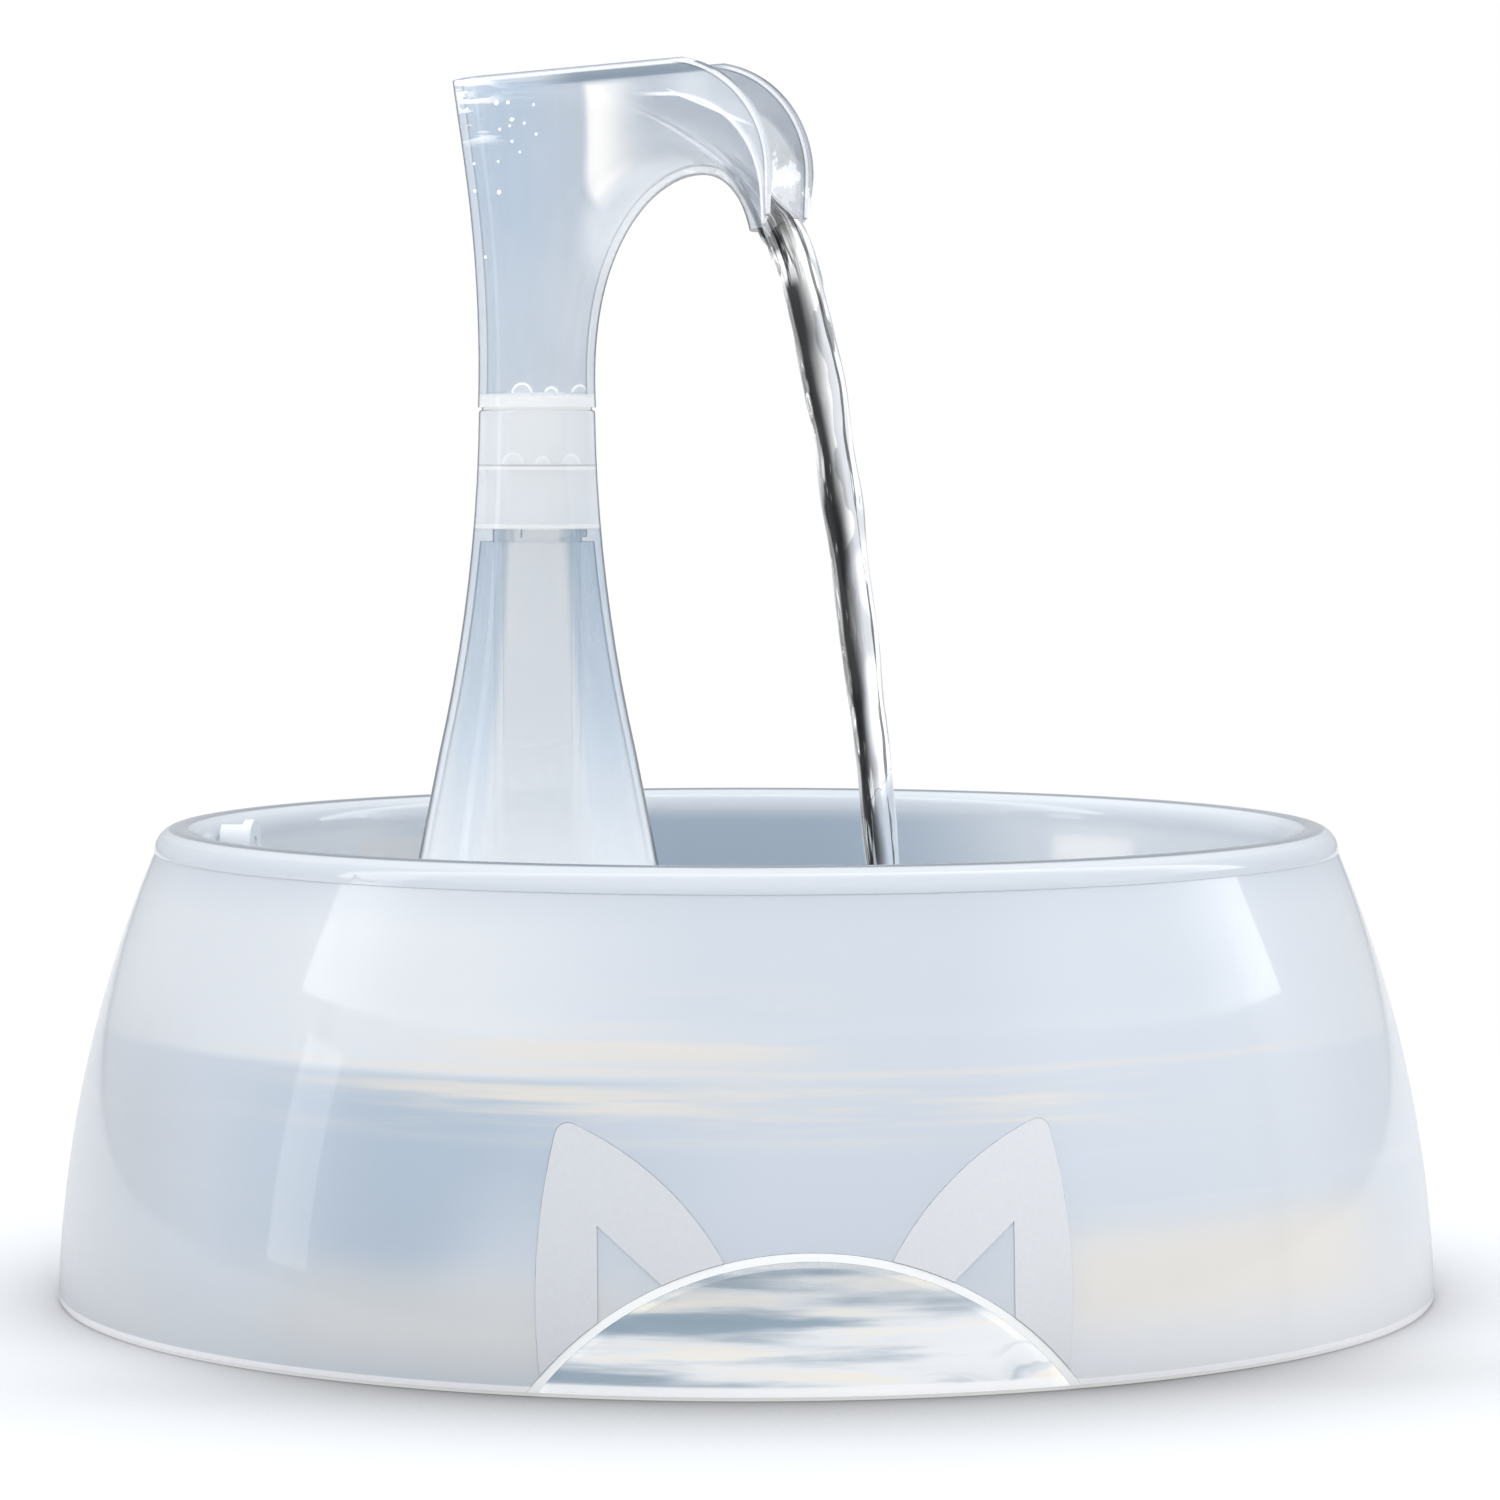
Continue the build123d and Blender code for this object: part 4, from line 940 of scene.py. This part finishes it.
def fill_drops(shape):
    """Small drops that cling to the spout's near wall, most of them high up at its back."""
    wall = -SPOUT_HALF - sizes().film / 5
    for index in range(DROP_COUNT):
        seats = [Vector((index * 3.17, seed, 0.7)) for seed in (0.2, 4.1, 8.3)]
        across, up, big = [unit(0.5 + 0.5 * noise.noise(seat) * 1.9) for seat in seats]
        size = sizes().droplet * (DROP_SMALL + DROP_SPREAD * big)
        height = DROP_LOW + (DROP_HIGH - DROP_LOW) * sqrt(up)
        centre = in_spout(DROP_LEFT + DROP_SPAN * across, height, wall)
        rings = []
        for row in range(1, DROP_ROWS + 1):
            tilt = pi / 2 * row / DROP_ROWS
            girth, depth = size * sin(tilt), size * DROP_FLAT * cos(tilt)
            rings.append([centre + SPOUT_WAY * (girth * cos(turn)) + Vector((0, 0, girth * sin(turn)))
                          - ACROSS * depth for turn in turns(DROP_SIDES)])
        skin_rings(shape, rings)


class FOUNTAIN_OT_shell(bpy.types.Operator):
    """Finish the outer shell, its window, trim, ears and feet"""
    bl_idname = "fountain.shell"
    bl_label = "Shell"

    def execute(self, context):
        dress(frosted_shell(), "outer_shell")
        dress(window_plastic(), "sight_window")
        dress(milky_trim(), "window_trim")
        dress(matt_ears(), "ear_motif")
        dress(soft_rubber("foot_rubber", (0.70, 0.71, 0.72)), "rubber_feet")
        return {"FINISHED"}


class FOUNTAIN_OT_bowl(bpy.types.Operator):
    """Finish the water bowl and its cord clip"""
    bl_idname = "fountain.bowl"
    bl_label = "Bowl"

    def execute(self, context):
        dress(bowl_plastic(), "inner_bowl")
        dress(moulded("clip_white", (0.90, 0.92, 0.94), 0.25), "cord_clip")
        return {"FINISHED"}


class FOUNTAIN_OT_pump(bpy.types.Operator):
    """Finish the pump, its rotor, filter and small parts"""
    bl_idname = "fountain.pump"
    bl_label = "Pump"

    def execute(self, context):
        dress(moulded("pump_case", (0.72, 0.76, 0.81)),
              "pump_housing", "impeller_chamber", "impeller_cover")
        dress(moulded("cage_white", (0.83, 0.86, 0.89), 0.32), "filter_cage")
        dress(moulded("dial_blue", (0.30, 0.50, 0.70), 0.25), "flow_dial")
        dress(moulded("rotor_plastic", (0.86, 0.87, 0.88), 0.25), "impeller_blades")
        dress(moulded("potting_resin", (0.10, 0.12, 0.15), 0.15, 200), "epoxy_fill")
        dress(moulded("rotor_ferrite", (0.05, 0.05, 0.055), 0.5), "magnet_rotor")
        dress(moulded("shaft_ceramic", (0.88, 0.88, 0.85), 0.18, 900), "impeller_shaft")
        dress(metal("stator_steel", (0.55, 0.55, 0.57), 0.3, (2000, 2000, 60)), "stator_core")
        dress(metal("coil_copper", (0.85, 0.42, 0.20), 0.25, (60, 60, 3500)), "coil")
        dress(soft_rubber("silicone", (0.80, 0.82, 0.84), 0.35),
              "chamber_seal", "suction_cups", "spout_seal", "cable_gland")
        dress(soft_rubber("bush_rubber", (0.03, 0.03, 0.033)), "rear_bush", "front_bush")
        dress(open_foam(), "foam_pad")
        dress(carbon_fleece(), "carbon_pad")
        return {"FINISHED"}


class FOUNTAIN_OT_tower(bpy.types.Operator):
    """Finish the clear tower, riser tube and spout"""
    bl_idname = "fountain.tower"
    bl_label = "Tower and spout"

    def execute(self, context):
        dress(tower_plastic(), "tower_bell", "spout")
        dress(tube_plastic(), "riser_tube")
        return {"FINISHED"}


class FOUNTAIN_OT_water(bpy.types.Operator):
    """Add the pool and the falling stream"""
    bl_idname = "fountain.water"
    bl_label = "Water"

    def execute(self, context):
        add_mesh("water_pool", fill_pool, still_water(), "bowl")
        add_mesh("water_stream", fill_stream, falling_water(), "spout_head")
        return {"FINISHED"}


class FOUNTAIN_OT_drops(bpy.types.Operator):
    """Add the drops that cling to the spout"""
    bl_idname = "fountain.drops"
    bl_label = "Drops"

    def execute(self, context):
        add_mesh("spout_drops", fill_drops, clinging_drop(), "spout_head")
        return {"FINISHED"}


# Each lamp's name, place, aim, width, depth and glow
LAMPS = (
    ("ceiling", (0.5, 0.3, 1.05), (0.5, 0.3, 0.0), 6.2, 4.8, 0.70),
    ("left_strip", (-2.0, -0.27, 0.36), (0.0, 0.0, 0.05), 0.30, 0.62, 1.6),
)
SOFTBOX_LEFT = -0.0875
SOFTBOX_RIGHT = 0.325
SOFTBOX_TILT = (0.13, 0.20)
SOFTBOX_LOW = (0.345, 0.285)
SOFTBOX_FADE = 0.55
SOFTBOX_GLOW = 0.85
SOFTBOX_EDGE = 3.1
FLOOR_CLEAR_R = 0.30
FLOOR_FADE = 0.25
CONTACT_REACH = 0.10
CONTACT_POWER = 1.7
FLOOR_LIFT = 0.02
UNDER_LIFT = 0.55
FLOOR_REACH = 40.0
CAMERA_DISTANCE = 1.161
CAMERA_HEIGHT = 0.1759
CAMERA_AZIMUTH = -4.7
CAMERA_PITCH = 3.186
CAMERA_YAW = -0.036
CAMERA_LENS = 135.14
CAMERA_CLIP = (0.05, 50)
SENSOR = 36.0


class FOUNTAIN_OT_stage(bpy.types.Operator):
    """Add the floor, lights, backdrop and camera"""
    bl_idname = "fountain.stage"
    bl_label = "Studio"

    def execute(self, context):
        self.add_floor()
        self.add_lamps()
        self.set_world()
        self.add_camera()
        context.scene.view_settings.view_transform = "Standard"
        return {"FINISHED"}

    def add_floor(self):
        """A floor that is white far off, with a painted shadow where it is shut in under and before the
        shell, and painted light in the slit under the shell's edge.
        """
        net = Net("studio_floor")
        camera = net.add("ShaderNodeLightPath", output="Is Camera Ray")
        x, y, _ = net.place()
        radius = (x * x + y * y) ** 0.5
        far = radius.step(FLOOR_CLEAR_R, FLOOR_CLEAR_R + FLOOR_FADE)
        # Painted shadow from ambient occlusion, deeper in front
        open_sky = net.add("ShaderNodeAmbientOcclusion", inputs={"Distance": CONTACT_REACH}, output="AO")
        front = y.step(-0.07, -0.135)
        deep = net.mix(front, (0.52, 0.52, 0.53), (0.19, 0.19, 0.19))
        light = open_sky.step(0.26, 0.87) * (1 - front) + open_sky.step(0.26, 0.99) * front
        shade = net.mix(light ** CONTACT_POWER, deep, colours().floor)
        card = net.add("ShaderNodeBsdfDiffuse", inputs={"Color": shade})
        # Painted light under the shell's edge, so the slit there shows grey
        under = radius.step(SHELL_HIGH.x - 0.0002, SHELL_HIGH.x - 0.0012)
        lift = net.add("ShaderNodeEmission", inputs={
            "Color": net.mix(under, (FLOOR_LIFT,) * 3, (UNDER_LIFT,) * 3), "Strength": 1.0})
        near = net.blend(camera, card, net.add("ShaderNodeAddShader", inputs={0: card, 1: lift}))
        white = net.add("ShaderNodeEmission", inputs={"Color": WHITE, "Strength": 1.0})
        data = bpy.data.meshes.new("floor")
        shape = bmesh.new()
        bmesh.ops.create_grid(shape, x_segments=1, y_segments=1, size=FLOOR_REACH)
        shape.to_mesh(data)
        shape.free()
        data.materials.append(net.finish(net.blend(far * camera, near, white)))
        floor = bpy.data.objects.new("floor", data)
        bpy.context.scene.collection.objects.link(floor)

    def add_lamps(self):
        """Wide soft lamps; the ceiling lights the piece without showing in its gloss."""
        for name, place, aim, width, depth, glow in LAMPS:
            lamp = bpy.data.lights.new(name, "AREA")
            lamp.shape, lamp.size, lamp.size_y = "RECTANGLE", width, depth
            lamp.energy = glow * pi * width * depth
            holder = bpy.data.objects.new(name, lamp)
            holder.location = place
            holder.rotation_euler = (Vector(aim) - Vector(place)).to_track_quat("-Z", "Y").to_euler()
            holder.visible_glossy = name != "ceiling"
            bpy.context.scene.collection.objects.link(holder)

    def set_world(self):
        """White to the camera, a pale studio to the light, and a softbox to the glossy pieces."""
        world = bpy.data.worlds.new("studio")
        bpy.context.scene.world = world
        net = Net("studio", world)
        x, y, z = net.split(net.add("ShaderNodeTexCoord", output="Generated"))
        seen = net.make("ShaderNodeLightPath").outputs
        camera, glossy, transmitted = [
            Signal(net, seen[f"Is {kind} Ray"]) for kind in ("Camera", "Glossy", "Transmission")]
        sides = abs(x).step(0.55, 0.95)
        level = net.mix(sides, (0.72, 0.75, 0.80), (0.46, 0.49, 0.54))
        reach = (x * SOFTBOX_LEFT).maths("MAXIMUM", x * SOFTBOX_RIGHT) - y
        side = x.step(-0.08, -0.04)
        lift = z - SOFTBOX_LOW[0] + y * SOFTBOX_TILT[0] + side * (
            SOFTBOX_LOW[0] - SOFTBOX_LOW[1] + y * (SOFTBOX_TILT[1] - SOFTBOX_TILT[0]))
        softbox = reach.step(0.0, 0.012) * lift.step(0.0, 0.008) * glossy
        rims = reach.step(SOFTBOX_FADE, 0.0) ** 2.0 + lift.step(0.05, 0.0) * 0.25
        level = net.mix(softbox, level, (SOFTBOX_GLOW,) * 3)
        level = net.mix(softbox * rims, level, (SOFTBOX_EDGE,) * 3)
        shown = net.mix((camera + transmitted).clamped(), level, WHITE)
        back = net.add("ShaderNodeBackground", inputs={"Color": shown, "Strength": 1.0})
        net.make("ShaderNodeOutputWorld", inputs={"Surface": back})

    def add_camera(self):
        """A long lens a little above the rim, looking slightly down."""
        data = bpy.data.cameras.new("camera")
        data.lens, data.sensor_width = CAMERA_LENS, SENSOR
        data.clip_start, data.clip_end = CAMERA_CLIP
        camera = bpy.data.objects.new("camera", data)
        turn = radians(CAMERA_AZIMUTH)
        camera.location = (sin(turn) * CAMERA_DISTANCE, -cos(turn) * CAMERA_DISTANCE, CAMERA_HEIGHT)
        camera.rotation_euler = (radians(90 - CAMERA_PITCH), 0, radians(CAMERA_AZIMUTH + CAMERA_YAW))
        bpy.context.scene.collection.objects.link(camera)
        bpy.context.scene.camera = camera


STEPS = ("shell", "bowl", "pump", "tower", "water", "drops", "stage")


class FOUNTAIN_PT_panel(bpy.types.Panel):
    """Lists the fountain's steps and values"""
    bl_idname = "FOUNTAIN_PT_panel"
    bl_label = "Fountain"
    bl_space_type = "VIEW_3D"
    bl_region_type = "UI"
    bl_category = "Fountain"

    def draw(self, context):
        for step in STEPS:
            self.layout.operator(f"fountain.{step}")
        for group in (context.scene.fountain_sizes, context.scene.fountain_colours):
            for key in group.bl_rna.properties.keys():
                if key not in ("rna_type", "name"):
                    self.layout.prop(group, key)


CLASSES = (FountainSizes, FountainColours, FOUNTAIN_OT_shell, FOUNTAIN_OT_bowl, FOUNTAIN_OT_pump,
           FOUNTAIN_OT_tower, FOUNTAIN_OT_water, FOUNTAIN_OT_drops, FOUNTAIN_OT_stage, FOUNTAIN_PT_panel)


def register():
    """Registers the classes and puts their values on the scene."""
    for one in CLASSES:
        bpy.utils.register_class(one)
    bpy.types.Scene.fountain_sizes = bpy.props.PointerProperty(type=FountainSizes)
    bpy.types.Scene.fountain_colours = bpy.props.PointerProperty(type=FountainColours)


def unregister():
    """Takes the values and the classes away again."""
    del bpy.types.Scene.fountain_sizes
    del bpy.types.Scene.fountain_colours
    for one in reversed(CLASSES):
        bpy.utils.unregister_class(one)


def main():
    """Makes every step."""
    register()
    for step in STEPS:
        getattr(bpy.ops.fountain, step)()


if __name__ == "__main__":
    main()
